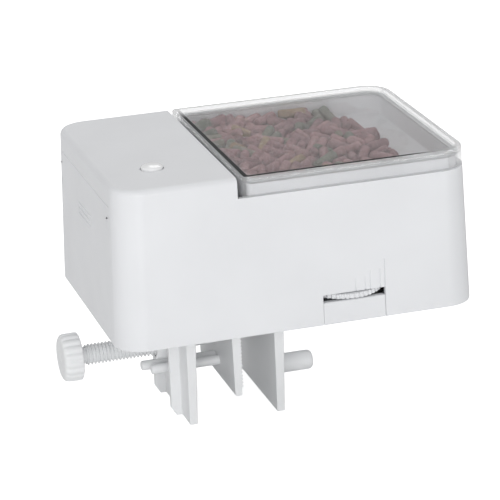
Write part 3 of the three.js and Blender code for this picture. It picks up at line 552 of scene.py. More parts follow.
def funnel_height(x, y):
    """Height of the funnel's inner face under a point."""
    right, left = WIDTH - BIN_INSET - BIN_WALL - DRUM_X, DRUM_X - BIN_LEFT - BIN_WALL
    back, front = DEPTH - BIN_INSET - BIN_WALL - DRUM_Y, DRUM_Y - BIN_INSET - BIN_WALL
    out_x, reach_x = abs(x - DRUM_X) - DRUM_LENGTH / 2, np.where(x > DRUM_X, right, left)
    out_y, reach_y = abs(y - DRUM_Y) - DRUM_RADIUS, np.where(y > DRUM_Y, back, front)
    share = np.maximum(out_x / (reach_x - DRUM_LENGTH / 2), out_y / (reach_y - DRUM_RADIUS))
    return THROAT_Z + (FUNNEL_TOP - THROAT_Z) * np.clip(share, 0, 1)


def laid(middle, direction):
    """Both ends of every stick, from its middle and direction."""
    reach = direction * half_length[:, None]
    return np.stack([middle - reach, middle + reach])


def heap_over(points):
    """Height of the heap's surface at each point."""
    return heap_top(points[:, 0], points[:, 1])


draw = np.random.default_rng(11)
heap_low = np.array([BIN_LEFT + BIN_WALL + STICK_MARGIN, BIN_INSET + BIN_WALL + STICK_MARGIN])
heap_right = WIDTH - BIN_INSET - BIN_WALL - STICK_MARGIN
heap_high = np.array([heap_right, DEPTH - BIN_INSET - BIN_WALL - STICK_MARGIN])
layer = np.arange(STICKS_DRAWN) % STICK_LAYERS
middle = heap_low + draw.random((STICKS_DRAWN, 2)) * (heap_high - heap_low)
half_length = draw.uniform(2.9, 5.1, STICKS_DRAWN) - STICK_RADIUS * 0.6
radius = STICK_RADIUS * draw.uniform(0.93, 1.07, STICKS_DRAWN)
yaw = draw.uniform(0, math.pi, STICKS_DRAWN)
tilt = draw.normal(0, 0.3, STICKS_DRAWN)
lean_out = np.stack([np.cos(yaw) * np.cos(tilt), np.sin(yaw) * np.cos(tilt), np.sin(tilt)], 1)
level = heap_over(middle) - 2.0 - LAYER_STEP * layer
ends = laid(np.column_stack([middle, level]), lean_out)
first, second = np.triu_indices(STICKS_DRAWN, 1)
for step in range(SETTLE_STEPS):
    # The closest points of each pair of sticks, as shares s and t of their lengths.
    a, b = ends[0][first], ends[0][second]
    along_a, along_b = ends[1][first] - a, ends[1][second] - b
    apart = a - b
    aa, bb = (along_a**2).sum(1), (along_b**2).sum(1)
    ab = (along_a * along_b).sum(1)
    ca, cb = (along_a * apart).sum(1), (along_b * apart).sum(1)
    bottom = aa * bb - ab * ab
    s = np.clip(np.where(bottom > 1e-6, (ab * cb - ca * bb) / np.maximum(bottom, 1e-6), 0.5), 0, 1)
    t = np.clip((ab * s + cb) / bb, 0, 1)
    s = np.clip((ab * t - ca) / aa, 0, 1)
    between = (a + along_a * s[:, None]) - (b + along_b * t[:, None])
    distance = np.linalg.norm(between, axis=1)
    overlap = radius[first] + radius[second] - distance
    hit = overlap > 0
    push = between[hit] / np.maximum(distance[hit], 1e-4)[:, None] * (PUSH * overlap[hit])[:, None]
    for index, share, sign in ((first[hit], s[hit], 1), (second[hit], t[hit], -1)):
        np.add.at(ends[0], index, sign * push * (1 - share)[:, None])
        np.add.at(ends[1], index, sign * push * share[:, None])
    # Each is drawn to its layer's height, kept inside the bin and turned back if it is too steep.
    middle_now = ends.mean(0)
    wanted = heap_over(middle_now) - 1.9 - LAYER_STEP * layer
    ends[:, :, 2] += PULL * np.clip(wanted - middle_now[:, 2], -2, 2)
    for end in ends:
        end[:, :2] = np.clip(end[:, :2], heap_low + STICK_MARGIN, heap_high - STICK_MARGIN)
        floor_here = funnel_height(end[:, 0], end[:, 1]) + 0.8 * radius
        highest = LID_CLEAR - radius
        end[:, 2] = np.clip(end[:, 2], np.minimum(floor_here, highest), highest)
    middle_now = ends.mean(0)
    facing = ends[1] - ends[0]
    facing /= np.linalg.norm(facing, axis=1)[:, None]
    facing[:, 2] = np.clip(facing[:, 2], -STEEPEST, STEEPEST)
    facing /= np.linalg.norm(facing, axis=1)[:, None]
    ends = laid(middle_now, facing)

# Three sticks stand proud at the back left.
for i, (place, aim) in enumerate(PROUD_STICKS):
    way = np.array(aim) / np.linalg.norm(aim)
    ends[0][i], ends[1][i] = np.array(place) - PROUD_HALF * way, np.array(place) + PROUD_HALF * way
    half_length[i], radius[i] = PROUD_HALF, PROUD_RADIUS
middle_now = ends.mean(0)
stays = heap_over(middle_now) - funnel_height(middle_now[:, 0], middle_now[:, 1]) > LEAST_HEAP
ends, half_length, radius = ends[:, stays], half_length[stays], radius[stays]

# One stick: a short rod with worn, uneven edges at its cut ends, one unit long and thick.
stick_profile = [(0.0, -1.0), (0.72, -0.98), (0.95, -0.9), (1.0, -0.7)]
stick_profile += [(0.97, 0.0), (1.0, 0.7), (0.94, 0.9), (0.7, 0.98), (0.0, 1.0)]
stick = turned("stick", stick_profile, "x", (0, 0), sides=10)
stick.data.shade_smooth()
heap_points = bpy.data.meshes.new("heap_points")
heap_points.from_pydata([tuple(p) for p in ends.mean(0)], [], [])
for name, data_type in (("turn", "FLOAT_VECTOR"), ("size", "FLOAT_VECTOR"), ("kind", "FLOAT")):
    heap_points.attributes.new(name, data_type, "POINT")
turns, sizes, kinds = (heap_points.attributes[name].data for name in ("turn", "size", "kind"))
facing = ends[1] - ends[0]
for i in range(len(radius)):
    turn = Vector(facing[i]).to_track_quat("X", "Z").to_euler()
    turn.rotate_axis("X", draw.uniform(0, 6.28))
    turns[i].vector = turn
    sizes[i].vector = (half_length[i] + 0.7 * radius[i], radius[i], radius[i] * draw.uniform(0.88, 1))
    kinds[i].value = draw.random()
food = in_scene("food_sticks", heap_points)


def named_tree(name, inputs):
    """An empty Geometry Nodes tree that takes and gives geometry, with the named inputs."""
    tree = bpy.data.node_groups.new(name, "GeometryNodeTree")
    tree.interface.new_socket("Geometry", in_out="INPUT", socket_type="NodeSocketGeometry")
    for label, kind in inputs:
        tree.interface.new_socket(label, in_out="INPUT", socket_type=kind)
    tree.interface.new_socket("Geometry", in_out="OUTPUT", socket_type="NodeSocketGeometry")
    return tree, tree.nodes.new("NodeGroupInput"), tree.nodes.new("NodeGroupOutput")


def made_by(piece, tree, values):
    """Runs the tree on the piece with these inputs, and keeps the mesh that it gives."""
    modifier = piece.modifiers.new("make", "NODES")
    modifier.node_group = tree
    for socket in tree.interface.items_tree:
        if socket.in_out == "INPUT" and socket.name in values:
            modifier[socket.identifier] = values[socket.name]
    settle_modifiers(piece)
    return piece


def attribute_in(tree, name, kind):
    """The value of a mesh attribute, in a Geometry Nodes tree."""
    inputs = {"Name": name}
    return new_node(tree, "GeometryNodeInputNamedAttribute", inputs, data_type=kind).outputs[0]


def given_out(tree, given, put, instances):
    """Ends a tree: its instances are made real, take the material that it is given, and go out."""
    shapes = {"Geometry": instances.outputs["Instances"]}
    solid = new_node(tree, "GeometryNodeRealizeInstances", shapes).outputs["Geometry"]
    finish = {"Geometry": solid, "Material": given.outputs["Material"]}
    fed(put, {"Geometry": new_node(tree, "GeometryNodeSetMaterial", finish).outputs["Geometry"]})


# Sets one shape on every point, turned and sized by the point's own attributes.
scatter, given, put = named_tree(
    "set_on_points", [("Shape", "NodeSocketObject"), ("Material", "NodeSocketMaterial")]
)
shape_in = new_node(scatter, "GeometryNodeObjectInfo", {"Object": given.outputs["Shape"]})
turn_given = {"Euler": attribute_in(scatter, "turn", "FLOAT_VECTOR")}
turn_in = new_node(scatter, "FunctionNodeEulerToRotation", turn_given).outputs["Rotation"]
setting = new_node(scatter, "GeometryNodeInstanceOnPoints")
fed(setting, {"Points": given.outputs["Geometry"], "Instance": shape_in.outputs["Geometry"]})
fed(setting, {"Rotation": turn_in, "Scale": attribute_in(scatter, "size", "FLOAT_VECTOR")})
given_out(scatter, given, put, setting)


def coloured_by(tree, value, stops, between="LINEAR"):
    """A colour for each value, from [value, colour]."""
    ramp_node = new_node(tree, "ShaderNodeValToRGB", {"Fac": value})
    ramp = ramp_node.color_ramp
    ramp.interpolation = between
    for i, (place, colour) in enumerate(stops):
        stop = ramp.elements[i] if i < 2 else ramp.elements.new(place)
        stop.position, stop.color = place, (*colour, 1)
    return ramp_node.outputs["Color"]


FOOD_COLOURS = [  # from which share of the sticks: three mauves, olive, ochre and grey green
    (0.0, (0.34, 0.20, 0.21)),
    (0.3, (0.39, 0.235, 0.24)),
    (0.55, (0.28, 0.165, 0.175)),
    (0.76, (0.19, 0.20, 0.165)),
    (0.87, (0.35, 0.26, 0.17)),
    (0.94, (0.26, 0.25, 0.2)),
]
pressed_food, tree, shader = new_material("pressed_food")
speckle = ranged(tree, noise_in(tree, 1.6, 3), 0.3, 0.7, 0.72, 1.25)
colours = coloured_by(tree, mark_in(tree, "kind"), FOOD_COLOURS, "CONSTANT")
mixed = new_node(tree, "ShaderNodeMix", data_type="RGBA", blend_type="MULTIPLY")
fed(mixed, {"Factor": 1.0, "A": colours, "B": speckle})
crumbs = bumped(tree, noise_in(tree, 0.7, 4, roughness=0.7), 0.8, 0.3)
fed(shader, {"Base Color": mixed.outputs["Result"], "Roughness": 0.85, "Normal": crumbs})

made_by(food, scatter, {"Shape": stick, "Material": pressed_food})
bpy.data.objects.remove(stick)
food.data.transform(TO_FRAME)
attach(food, "root")

BED_RIGHT = 107.0
BED_UNDER = 9.5  # from the heap's surface down to the bed
bed = skin("food_bed", [throat_ring(-1.4, THROAT_Z + 2.0), *rim_rings([(BIN_WALL + 1.6, FUNNEL_TOP)])])
cut(bed, [block(BED_RIGHT, PAST_RIGHT, -BEYOND, PAST_BACK, 0, PAST_TOP)])
divide = bed.modifiers.new("divide", "REMESH")
divide.mode, divide.voxel_size = "VOXEL", 1.1
settle_modifiers(bed)
for vertex in bed.data.vertices:
    x, y, z = vertex.co
    ripple = 0.9 * math.sin(1.9 * x) * math.cos(1.7 * y + 0.4 * x)
    surface = float(heap_top(x, y)) - BED_UNDER + ripple
    funnel = float(funnel_height(x, y))
    vertex.co.z = min(z, surface if surface > funnel + 0.4 else funnel - 1.0)
softened(bed)
dressed(bed, pressed_food)
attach(bed, "root")
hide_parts("food_fill")

# ---------------------------------------------------------------- timer button
# A glossy domed cap that stands out of the block's top; a flange under the top keeps it in.
BUTTON_DOME, BUTTON_SIDE = 1.5, 0.5  # how far it stands out, and how much of that is straight
DOME_STEPS = 9
STEM_RADIUS, STEM_END = 1.6, HEIGHT - 8.6
FLANGE_RADIUS, FLANGE_TOP = BUTTON_RADIUS + 1.2, HEIGHT - WALL - GAP
FLANGE_UNDER = FLANGE_TOP - 1.1
button_profile = [(0, STEM_END), (STEM_RADIUS, STEM_END), (STEM_RADIUS, FLANGE_UNDER)]
button_profile += [(FLANGE_RADIUS - 0.1, FLANGE_UNDER), (FLANGE_RADIUS, FLANGE_UNDER + 0.1)]
button_profile += [(FLANGE_RADIUS, FLANGE_TOP), (BUTTON_RADIUS, FLANGE_TOP)]
button_profile += [(BUTTON_RADIUS, HEIGHT - 0.15), (BUTTON_RADIUS, HEIGHT + BUTTON_SIDE)]
for i in range(1, DOME_STEPS + 1):
    turn = math.radians(90 * i / DOME_STEPS)
    rise = (BUTTON_DOME - BUTTON_SIDE) * math.sin(turn)
    button_profile.append((BUTTON_RADIUS * math.cos(turn) ** 0.7, HEIGHT + BUTTON_SIDE + rise))
button = turned("timer_button", button_profile, *button_place)
softened(button, limit=50)
abs_gloss = {"dull": 0.2, "polished": 0.12, "grain_mm": 0.002, "coat": 0.4}
dressed(button, moulded("abs_gloss", (0.93, 0.935, 0.94), **abs_gloss))
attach(button, "button")
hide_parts("button_cap")

# ---------------------------------------------------------------- battery door
# A flat ABS cover flush with the left side, with three finger ridges; two rails behind its
# edges hook into the housing, and it slides down to open.
DOOR_WALL, PLATE_CORNER = 1.5, 0.3
RAIL_REACH, RAIL_UNDER, RAIL_TOP = 1.6, 2.2, DOOR_TOP - GAP - 4
RAIL_X0, RAIL_X1 = WALL + LEAN + GAP, WALL + LEAN + GAP + 1
door_z = [(0.35, 0.02), (0.0, 0.35)] + [(0.0, z) for z in (10.0, 24.0, 38.0)]
door_z += [(0.0, DOOR_TOP - GAP - 0.35), (0.35, DOOR_TOP - GAP)]
door_rings = []
for shrink, z in door_z:
    outer = leaning(0, DEPTH / 2, z)[0]
    x0, x1 = outer + shrink, outer + DOOR_WALL - shrink
    y0, y1 = DOOR_FRONT + GAP + shrink, DOOR_BACK - GAP - shrink
    door_rings.append(rounded(x0, x1, y0, y1, (PLATE_CORNER,) * 4, z, 3))
door = skin("battery_door", door_rings)
front_edge, back_edge = DOOR_FRONT + GAP, DOOR_BACK - GAP
for y0, y1, edge0, edge1 in (
    (DOOR_FRONT - RAIL_REACH, front_edge + 2, front_edge, front_edge + 2),
    (back_edge - 2, DOOR_BACK + RAIL_REACH, back_edge - 2, back_edge),
):
    joined(door, [block(0.4, RAIL_X1, edge0, edge1, RAIL_UNDER, RAIL_TOP)])
    joined(door, [block(RAIL_X0, RAIL_X1, y0, y1, RAIL_UNDER, RAIL_TOP)])
softened(door, 0.15)

# Repeats a shape along a straight line.
along_line, given, put = named_tree(
    "repeat_along_line",
    [("Count", "NodeSocketInt"), ("Step", "NodeSocketVector"), ("Material", "NodeSocketMaterial")],
)
line = new_node(along_line, "GeometryNodeMeshLine", mode="OFFSET")
fed(line, {"Count": given.outputs["Count"], "Offset": given.outputs["Step"]})
setting = new_node(along_line, "GeometryNodeInstanceOnPoints")
fed(setting, {"Points": line.outputs["Mesh"], "Instance": given.outputs["Geometry"]})
given_out(along_line, given, put, setting)

GRIP_LENGTH, GRIP_Z, GRIP_STEP, GRIP_RADIUS = 16.5, 33.0, 1.9, 0.36
grip_front = (DOOR_FRONT + DOOR_BACK) / 2 - GRIP_LENGTH / 2
grip_back = grip_front + GRIP_LENGTH
grip_profile = [(0.0, grip_front - 0.4), (0.3, grip_front - 0.3), (GRIP_RADIUS, grip_front)]
grip_profile += [(GRIP_RADIUS, grip_back), (0.3, grip_back + 0.3), (0.0, grip_back + 0.4)]
grip_x = leaning(0, DEPTH / 2, GRIP_Z)[0]
grips = turned("door_grips", grip_profile, "y", (grip_x + 0.08, GRIP_Z), sides=16)
grips.data.shade_smooth()
lean_step = leaning(0, DEPTH / 2, GRIP_Z + GRIP_STEP)[0] - grip_x
grip_row = {"Count": 3, "Step": (lean_step, 0, GRIP_STEP), "Material": abs_white}
made_by(grips, along_line, grip_row)
dressed(door, abs_white)
grips.data.transform(TO_FRAME)
for piece in (door, grips):
    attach(piece, "battery_door")
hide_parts("battery_cover")

# ---------------------------------------------------------------- outlet panel
# The lower part of the front under the wheel's slot, a separate clip-in plate.
panel_top = SLOT_UNDER - GAP
panel_rings = []
for shrink, z in ((0.3, 0.02), (0.0, 0.3), (0.0, 4.0), (0.0, panel_top - 0.3), (0.3, panel_top)):
    x0, x1 = SLOT_LEFT + SEAM + shrink, SLOT_RIGHT - SEAM - shrink
    y0, y1 = leaning(DEPTH / 2, 0, z)[1] + shrink, WALL - shrink
    panel_rings.append(rounded(x0, x1, y0, y1, (PLATE_CORNER,) * 4, z, 3))
panel = skin("outlet_plate", panel_rings)
for x in (SLOT_LEFT + GAP + 1, SLOT_RIGHT - GAP - 3):
    joined(panel, [block(x, x + 2, WALL / 2, WALL + 1.2, 0.5, SLOT_UNDER - 1)])
softened(panel, 0.06)
dressed(panel, abs_white)
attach(panel, "root")
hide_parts("outlet_panel")

# ---------------------------------------------------------------- portion wheel
# A thumb wheel whose knurled rim stands out of the slot. Turning it brings a longer or shorter
# part of its curved opening under the drum.
WHEEL_X, WHEEL_RADIUS, WHEEL_REACH, WHEEL_THICK, WHEEL_BORE = 81.3, 13.6, 1.3, 1.8, 2.2
WHEEL_Y = WHEEL_RADIUS - WHEEL_REACH - LEAN / 2
WHEEL_Z = SLOT_UNDER + GAP
WHEEL_TOP = WHEEL_Z + WHEEL_THICK
WHEEL_AXIS = ("z", (WHEEL_X, WHEEL_Y))
WHEEL_FLUTES, WHEEL_FLUTE_DEPTH = 48, 0.5
OPENING_OUTER, OPENING_INNER, OPENING_SWEEP, OPENING_STEPS = 11.1, 6.2, math.radians(54), 16

# Presses soft flutes into a round rim: Count of them, Depth deep, where attribute rim is 1.
FLUTE_INPUTS = [("Count", "NodeSocketInt"), ("Depth", "NodeSocketFloat")]
FLUTE_INPUTS += [("Centre", "NodeSocketVector"), ("Along X", "NodeSocketBool")]
fluting, given, put = named_tree("press_flutes", FLUTE_INPUTS)


def times(first_value, second_value):
    """The product of two values, in the fluting tree."""
    return math_in(fluting, "MULTIPLY", first_value, second_value)


place = new_node(fluting, "GeometryNodeInputPosition").outputs["Position"]
spots = {0: place, 1: given.outputs["Centre"]}
from_centre = new_node(fluting, "ShaderNodeVectorMath", spots, operation="SUBTRACT")
apart = {"Vector": from_centre.outputs["Vector"]}
parts = new_node(fluting, "ShaderNodeSeparateXYZ", apart).outputs
lies_along_x = given.outputs["Along X"]
not_along_x = math_in(fluting, "SUBTRACT", 1.0, lies_along_x)
u = math_in(fluting, "ADD", times(parts["X"], not_along_x), times(parts["Z"], lies_along_x))
v = parts["Y"]
angle = math_in(fluting, "ARCTAN2", v, u)
wave = math_in(fluting, "COSINE", times(angle, given.outputs["Count"]))
dip = math_in(fluting, "POWER", math_in(fluting, "MULTIPLY_ADD", wave, 0.5, 0.5), 2.0)
depth = times(times(dip, given.outputs["Depth"]), attribute_in(fluting, "rim", "FLOAT"))
from_axis = math_in(fluting, "SQRT", math_in(fluting, "ADD", times(u, u), times(v, v)))
reach = math_in(fluting, "MAXIMUM", from_axis, 0.001)
inward = times(math_in(fluting, "DIVIDE", depth, reach), -1.0)
sideways = times(u, inward)
shift = new_node(fluting, "ShaderNodeCombineXYZ", {"X": times(sideways, not_along_x)})
fed(shift, {"Y": times(v, inward), "Z": times(sideways, lies_along_x)})
moved = new_node(fluting, "GeometryNodeSetPosition", {"Geometry": given.outputs["Geometry"]})
fed(moved, {"Offset": shift.outputs["Vector"]})
fed(put, {"Geometry": moved.outputs["Geometry"]})


def marked_rim(piece, share_of):
    """Stores on each point how much of the flutes' depth it takes, from its radius and place."""
    rim = piece.data.attributes.new("rim", "FLOAT", "POINT")
    for vertex, mark in zip(piece.data.vertices, rim.data):
        mark.value = share_of(vertex.co)


def arc(radius, start, end, z):
    """Points of an arc about the wheel's axis."""
    turns = [start + (end - start) * i / OPENING_STEPS for i in range(OPENING_STEPS + 1)]
    return [(WHEEL_X + radius * math.cos(a), WHEEL_Y + radius * math.sin(a), z) for a in turns]


wheel_profile = [(WHEEL_RADIUS - 3, WHEEL_Z), (WHEEL_RADIUS - 0.3, WHEEL_Z)]
wheel_profile += [(WHEEL_RADIUS, WHEEL_Z + 0.3), (WHEEL_RADIUS, WHEEL_Z + WHEEL_THICK / 2)]
wheel_profile += [(WHEEL_RADIUS, WHEEL_TOP - 0.3), (WHEEL_RADIUS - 0.3, WHEEL_TOP)]
wheel_profile += [(WHEEL_RADIUS - 3, WHEEL_TOP)]
wheel = turned("portion_dial", wheel_profile, *WHEEL_AXIS, sides=WHEEL_FLUTES * 8)
fluted_from = WHEEL_RADIUS - 1
marked_rim(wheel, lambda p: float(math.hypot(p.x - WHEEL_X, p.y - WHEEL_Y) > fluted_from))
flutes = {"Count": WHEEL_FLUTES, "Depth": WHEEL_FLUTE_DEPTH, "Along X": False}
made_by(wheel, fluting, {**flutes, "Centre": (WHEEL_X, WHEEL_Y, 0.0)})
bore = cylinder(WHEEL_BORE, WHEEL_Z - 1, WHEEL_TOP + 1, *WHEEL_AXIS)
opening_right, opening_left = math.pi / 2 - OPENING_SWEEP, math.pi / 2 + OPENING_SWEEP
opening = []
for z in (WHEEL_Z - 1, WHEEL_TOP + 1):
    outer_arc = arc(OPENING_OUTER, opening_right, opening_left, z)
    opening.append(outer_arc + arc(OPENING_INNER, opening_left, opening_right, z))
cut(wheel, [bore, skin("opening", opening)])
softened(wheel, limit=50)
dressed(wheel, abs_white)
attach(wheel, "portion_wheel")
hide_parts("portion_wheel")

# ---------------------------------------------------------------- base cover
# The plate that closes the housing from below, set in a little, with the food's outlet, the
# wheel's pivot and sunk holes for the screws that hold it and the clamp.
BASE_UNDER, BASE_TOP = 0.6, 2.2
CLAMP_Y, CLAMP_DEPTH = 45.3, 45.0
CLAMP_FRONT, CLAMP_BACK = CLAMP_Y - CLAMP_DEPTH / 2, CLAMP_Y + CLAMP_DEPTH / 2
BRACKET_SCREWS = [(x, y) for x in (36, 53) for y in (CLAMP_FRONT + 5, CLAMP_BACK - 5)]
BASE_SCREWS = [(x, y) for x in (24, 106) for y in (4, 86)]
POST_RADIUS, SCREW_RADIUS, HEAD_RADIUS = 3.0, 1.25, 2.2
HOLE_RADIUS, SINK_RADIUS = SCREW_RADIUS + GAP, HEAD_RADIUS + GAP
CHUTE = (WHEEL_X - 6.6, WHEEL_X + 6.6, WHEEL_Y + WHEEL_BORE + 2.0, WHEEL_Y + WHEEL_RADIUS - 1)
base_rings = [form(WALL + GAP + 0.25, BASE_UNDER), form(WALL + GAP, BASE_UNDER + 0.25)]
base_rings += [form(WALL + GAP, BASE_TOP - 0.2), form(WALL + GAP + 0.2, BASE_TOP)]
base = skin("base_plate", base_rings)
root = BASE_TOP - 0.5
joined(base, [cylinder(POST_RADIUS, root, BASE_TOP + 3.4, "z", at, 24) for at in BRACKET_SCREWS])
joined(base, [cylinder(WHEEL_BORE + 1.4, root, WHEEL_Z - GAP, *WHEEL_AXIS)])
joined(base, [cylinder(WHEEL_BORE - GAP, root, WHEEL_TOP + 0.5, *WHEEL_AXIS)])
for at in BRACKET_SCREWS:
    cut(base, [cylinder(HOLE_RADIUS, -1, BASE_TOP + 2.6, "z", at, 24)])
for at in BASE_SCREWS:
    cut(base, [cylinder(HOLE_RADIUS, -1, BASE_TOP + 1, "z", at, 24)])
    cut(base, [cylinder(SINK_RADIUS, -1, BASE_UNDER + 0.9, "z", at, 24)])
cut(base, [block(CHUTE[0] - GAP, CHUTE[1] + GAP, CHUTE[2] - GAP, CHUTE[3] + GAP, -1, 9)])
cut(base, [block(-BEYOND, RAIL_X1 + GAP, DOOR_FRONT - 1.9, DOOR_BACK + 1.9, -1, 9)])
cut(base, [block(SLOT_LEFT - GAP, SLOT_RIGHT + GAP, -BEYOND, WALL + 1.5, -1, 9)])
softened(base, 0.12)
dressed(base, abs_white)
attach(base, "root")
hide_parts("base_cover")

# ---------------------------------------------------------------- clamp bracket
# One ABS moulding screwed under the base: a top plate, the ribbed plate with the clamp's nut
# on the left, and the fixed jaw with a round peg on its outer side.
BRACKET_TOP, PLATE_THICK = 0.3, 3.0
BRACKET_UNDER = BRACKET_TOP - PLATE_THICK
FOOT = -39.0
NUT_X, FIXED_X, PLATE_ROOT, PLATE_FOOT = 27.6, 59.3, 3.8, 2.8
RIB_REACH, RIB_THICK, RIB_APART = 3.7, 2.2, 22.0
BOSS_RADIUS, BOSS_LENGTH = 5.2, 6.0
SCREW_Z, THREAD_RADIUS, THREAD_PITCH = -16.2, 3.75, 1.27
GUIDE_Z, GUIDE_RADIUS, GUIDE_APART = -24.4, 1.75, 4.8
PEG_RADIUS, PEG_LENGTH, PEG_Z = 3.5, 16.4, -30.4
RIGHT_END = FIXED_X + PLATE_ROOT + 3


def slab(profile, y0, y1):
    """A plate whose outline in x and z is given, from y0 back to y1."""
    return skin("slab", [[(x, y, z) for x, z in profile] for y in (y0, y1)])


def hanging_plate(x):
    """A plate that hangs from the bracket and thins towards its foot."""
    top = BRACKET_UNDER + 1.5
    outline = [(x, top), (x, FOOT), (x + PLATE_FOOT, FOOT), (x + PLATE_ROOT, top)]
    return slab(outline, CLAMP_FRONT, CLAMP_BACK)


bracket = block(NUT_X - RIB_REACH, RIGHT_END, CLAMP_FRONT, CLAMP_BACK, BRACKET_UNDER, BRACKET_TOP)
bracket.name = "clamp_frame"
joined(bracket, [hanging_plate(NUT_X), hanging_plate(FIXED_X)])
for side in (-1, 1):
    y = CLAMP_Y + side * RIB_APART / 2
    rib = [(NUT_X + 1, BRACKET_UNDER + 1), (NUT_X - RIB_REACH, BRACKET_UNDER + 1)]
    rib += [(NUT_X - RIB_REACH, FOOT + 3), (NUT_X - RIB_REACH + 1.8, FOOT), (NUT_X + 1, FOOT)]
    joined(bracket, [slab(rib, y - RIB_THICK / 2, y + RIB_THICK / 2)])
SCREW_AXIS = ("x", (CLAMP_Y, SCREW_Z))
GUIDE_AXES = [("x", (CLAMP_Y + side * GUIDE_APART / 2, GUIDE_Z)) for side in (-1, 1)]
boss_left, bore_left, bore_right = NUT_X - BOSS_LENGTH, NUT_X - BOSS_LENGTH - 1, FIXED_X - 9
joined(bracket, [cylinder(BOSS_RADIUS, boss_left, NUT_X + 1, *SCREW_AXIS)])
peg_end = FIXED_X + PLATE_ROOT + PEG_LENGTH
peg_profile = [(PEG_RADIUS, FIXED_X + 1), (PEG_RADIUS, peg_end - 1.6), (PEG_RADIUS - 0.25, peg_end - 0.8)]
peg_profile += [(PEG_RADIUS - 0.8, peg_end - 0.22), (PEG_RADIUS - 1.6, peg_end), (0, peg_end)]
joined(bracket, [turned("peg", peg_profile, "x", (CLAMP_Y, PEG_Z))])
cut(bracket, [cylinder(THREAD_RADIUS + GAP, bore_left, bore_right, *SCREW_AXIS)])
for axis in GUIDE_AXES:
    cut(bracket, [cylinder(GUIDE_RADIUS + GAP, NUT_X - 1, NUT_X + PLATE_ROOT + 1, *axis, 24)])
for at in BRACKET_SCREWS:
    cut(bracket, [cylinder(HOLE_RADIUS, -BEYOND, BEYOND, "z", at, 24)])
    cut(bracket, [cylinder(SINK_RADIUS, -BEYOND, BRACKET_UNDER + 1.8, "z", at, 24)])
softened(bracket, 0.35, segments=3)
clamp_finish = {"dull": 0.42, "polished": 0.32, "clouding": 0.05, "grain_mm": 0.008}
clamp_white = moulded("clamp_white", (0.85, 0.86, 0.87), **clamp_finish)
dressed(bracket, clamp_white)
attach(bracket, "root")
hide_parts("clamp_bracket")

# ---------------------------------------------------------------- moving jaw
# The shorter plate that the screw pushes. Fine level teeth run across its right face, and two
# guide rods behind it slide in the nut plate.
JAW_X, JAW_THICK, JAW_FOOT = 46.9, 2.5, -30.8
JAW_TOP = BRACKET_UNDER - GAP
TOOTH_PITCH, TOOTH_DEPTH = 1.3, 0.5
tooth_start = JAW_TOP - 3
tooth_count = int((tooth_start - JAW_FOOT - 2) / TOOTH_PITCH)
jaw_left = JAW_X - JAW_THICK
jaw_profile = [(JAW_X, JAW_TOP), (jaw_left - 0.5, JAW_TOP), (jaw_left, JAW_FOOT + 0.4)]
jaw_profile += [(jaw_left + 0.4, JAW_FOOT), (JAW_X - 0.4, JAW_FOOT), (JAW_X, JAW_FOOT + 0.4)]
for i in reversed(range(tooth_count)):
    z = tooth_start - i * TOOTH_PITCH
    for out, down in ((0.02, 0.9), (TOOTH_DEPTH, 0.56), (TOOTH_DEPTH, 0.44), (0.02, 0.1)):
        jaw_profile.append((JAW_X + out, z - down * TOOTH_PITCH))
jaw = slab(jaw_profile, CLAMP_FRONT, CLAMP_BACK)
jaw.name = "jaw_plate"
for axis, longer in zip(GUIDE_AXES, (0, 2.4)):
    tail = NUT_X - 8 - longer
    rod = [(0, tail), (GUIDE_RADIUS - 0.6, tail), (GUIDE_RADIUS - 0.15, tail + 0.2)]
    rod += [(GUIDE_RADIUS, tail + 0.6), (GUIDE_RADIUS, JAW_X - 1), (0, JAW_X - 1)]
    joined(jaw, [turned("rod", rod, *axis, 28)])
softened(jaw)
dressed(jaw, clamp_white)
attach(jaw, "jaw")
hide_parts("clamp_jaw")

# ---------------------------------------------------------------- clamp screw
# A moulded right-hand screw with a fine rounded thread, a plain nose that turns in the jaw,
# and a core pressed into the knob.
KNOB_X, KNOB_LENGTH, KNOB_RADIUS = -5.0, 7.0, 8.5
NECK_START, NECK_LENGTH, NECK_RADIUS = KNOB_X + GAP, 1.7, 2.9  # plain, between knob and thread
THREAD_START, THREAD_END = NECK_START + NECK_LENGTH, NUT_X + PLATE_ROOT + 1
THREAD_DEPTH, THREAD_RUN_OUT = 0.85, 0.6
CORE_RADIUS = 2.4
NOSE_X, NOSE_RADIUS = JAW_X - JAW_THICK - 0.5 - GAP, THREAD_RADIUS - 1.2
SCREW_SIDES, RINGS_PER_TURN = 40, 12


def thread_ring(x, radius, deep=0):
    """A ring of the thread at x: its radius dips once round, further on for each step in x."""
    ring = []
    for i in range(SCREW_SIDES):
        a = 2 * math.pi * i / SCREW_SIDES
        phase = (x / THREAD_PITCH - i / SCREW_SIDES) % 1
        dip = min(1, max(0, 2.6 * abs(phase - 0.5) - 0.15))
        r = radius - deep * dip
        ring.append((x, CLAMP_Y + r * math.cos(a), SCREW_Z + r * math.sin(a)))
    return ring


screw_rings = [thread_ring(x, CORE_RADIUS) for x in (KNOB_X - KNOB_LENGTH + 3, NECK_START)]
screw_rings += [thread_ring(x, NECK_RADIUS) for x in (NECK_START, THREAD_START - 0.1)]
steps = int((THREAD_END - THREAD_START) / THREAD_PITCH * RINGS_PER_TURN)
for i in range(steps + 1):
    x = THREAD_START + (THREAD_END - THREAD_START) * i / steps
    ease = min(1, (x - THREAD_START) / THREAD_RUN_OUT, (THREAD_END - x) / THREAD_RUN_OUT)
    screw_rings.append(thread_ring(x, THREAD_RADIUS - 0.35 * (1 - ease), THREAD_DEPTH * ease))
screw_rings += [thread_ring(x, NOSE_RADIUS) for x in (THREAD_END + 0.9, NOSE_X - 0.9)]
screw_rings += [thread_ring(NOSE_X - 0.3, NOSE_RADIUS - 0.25), thread_ring(NOSE_X, NOSE_RADIUS - 0.8)]
screw = skin("clamp_thread", screw_rings)
softened(screw, limit=60)
dressed(screw, clamp_white)
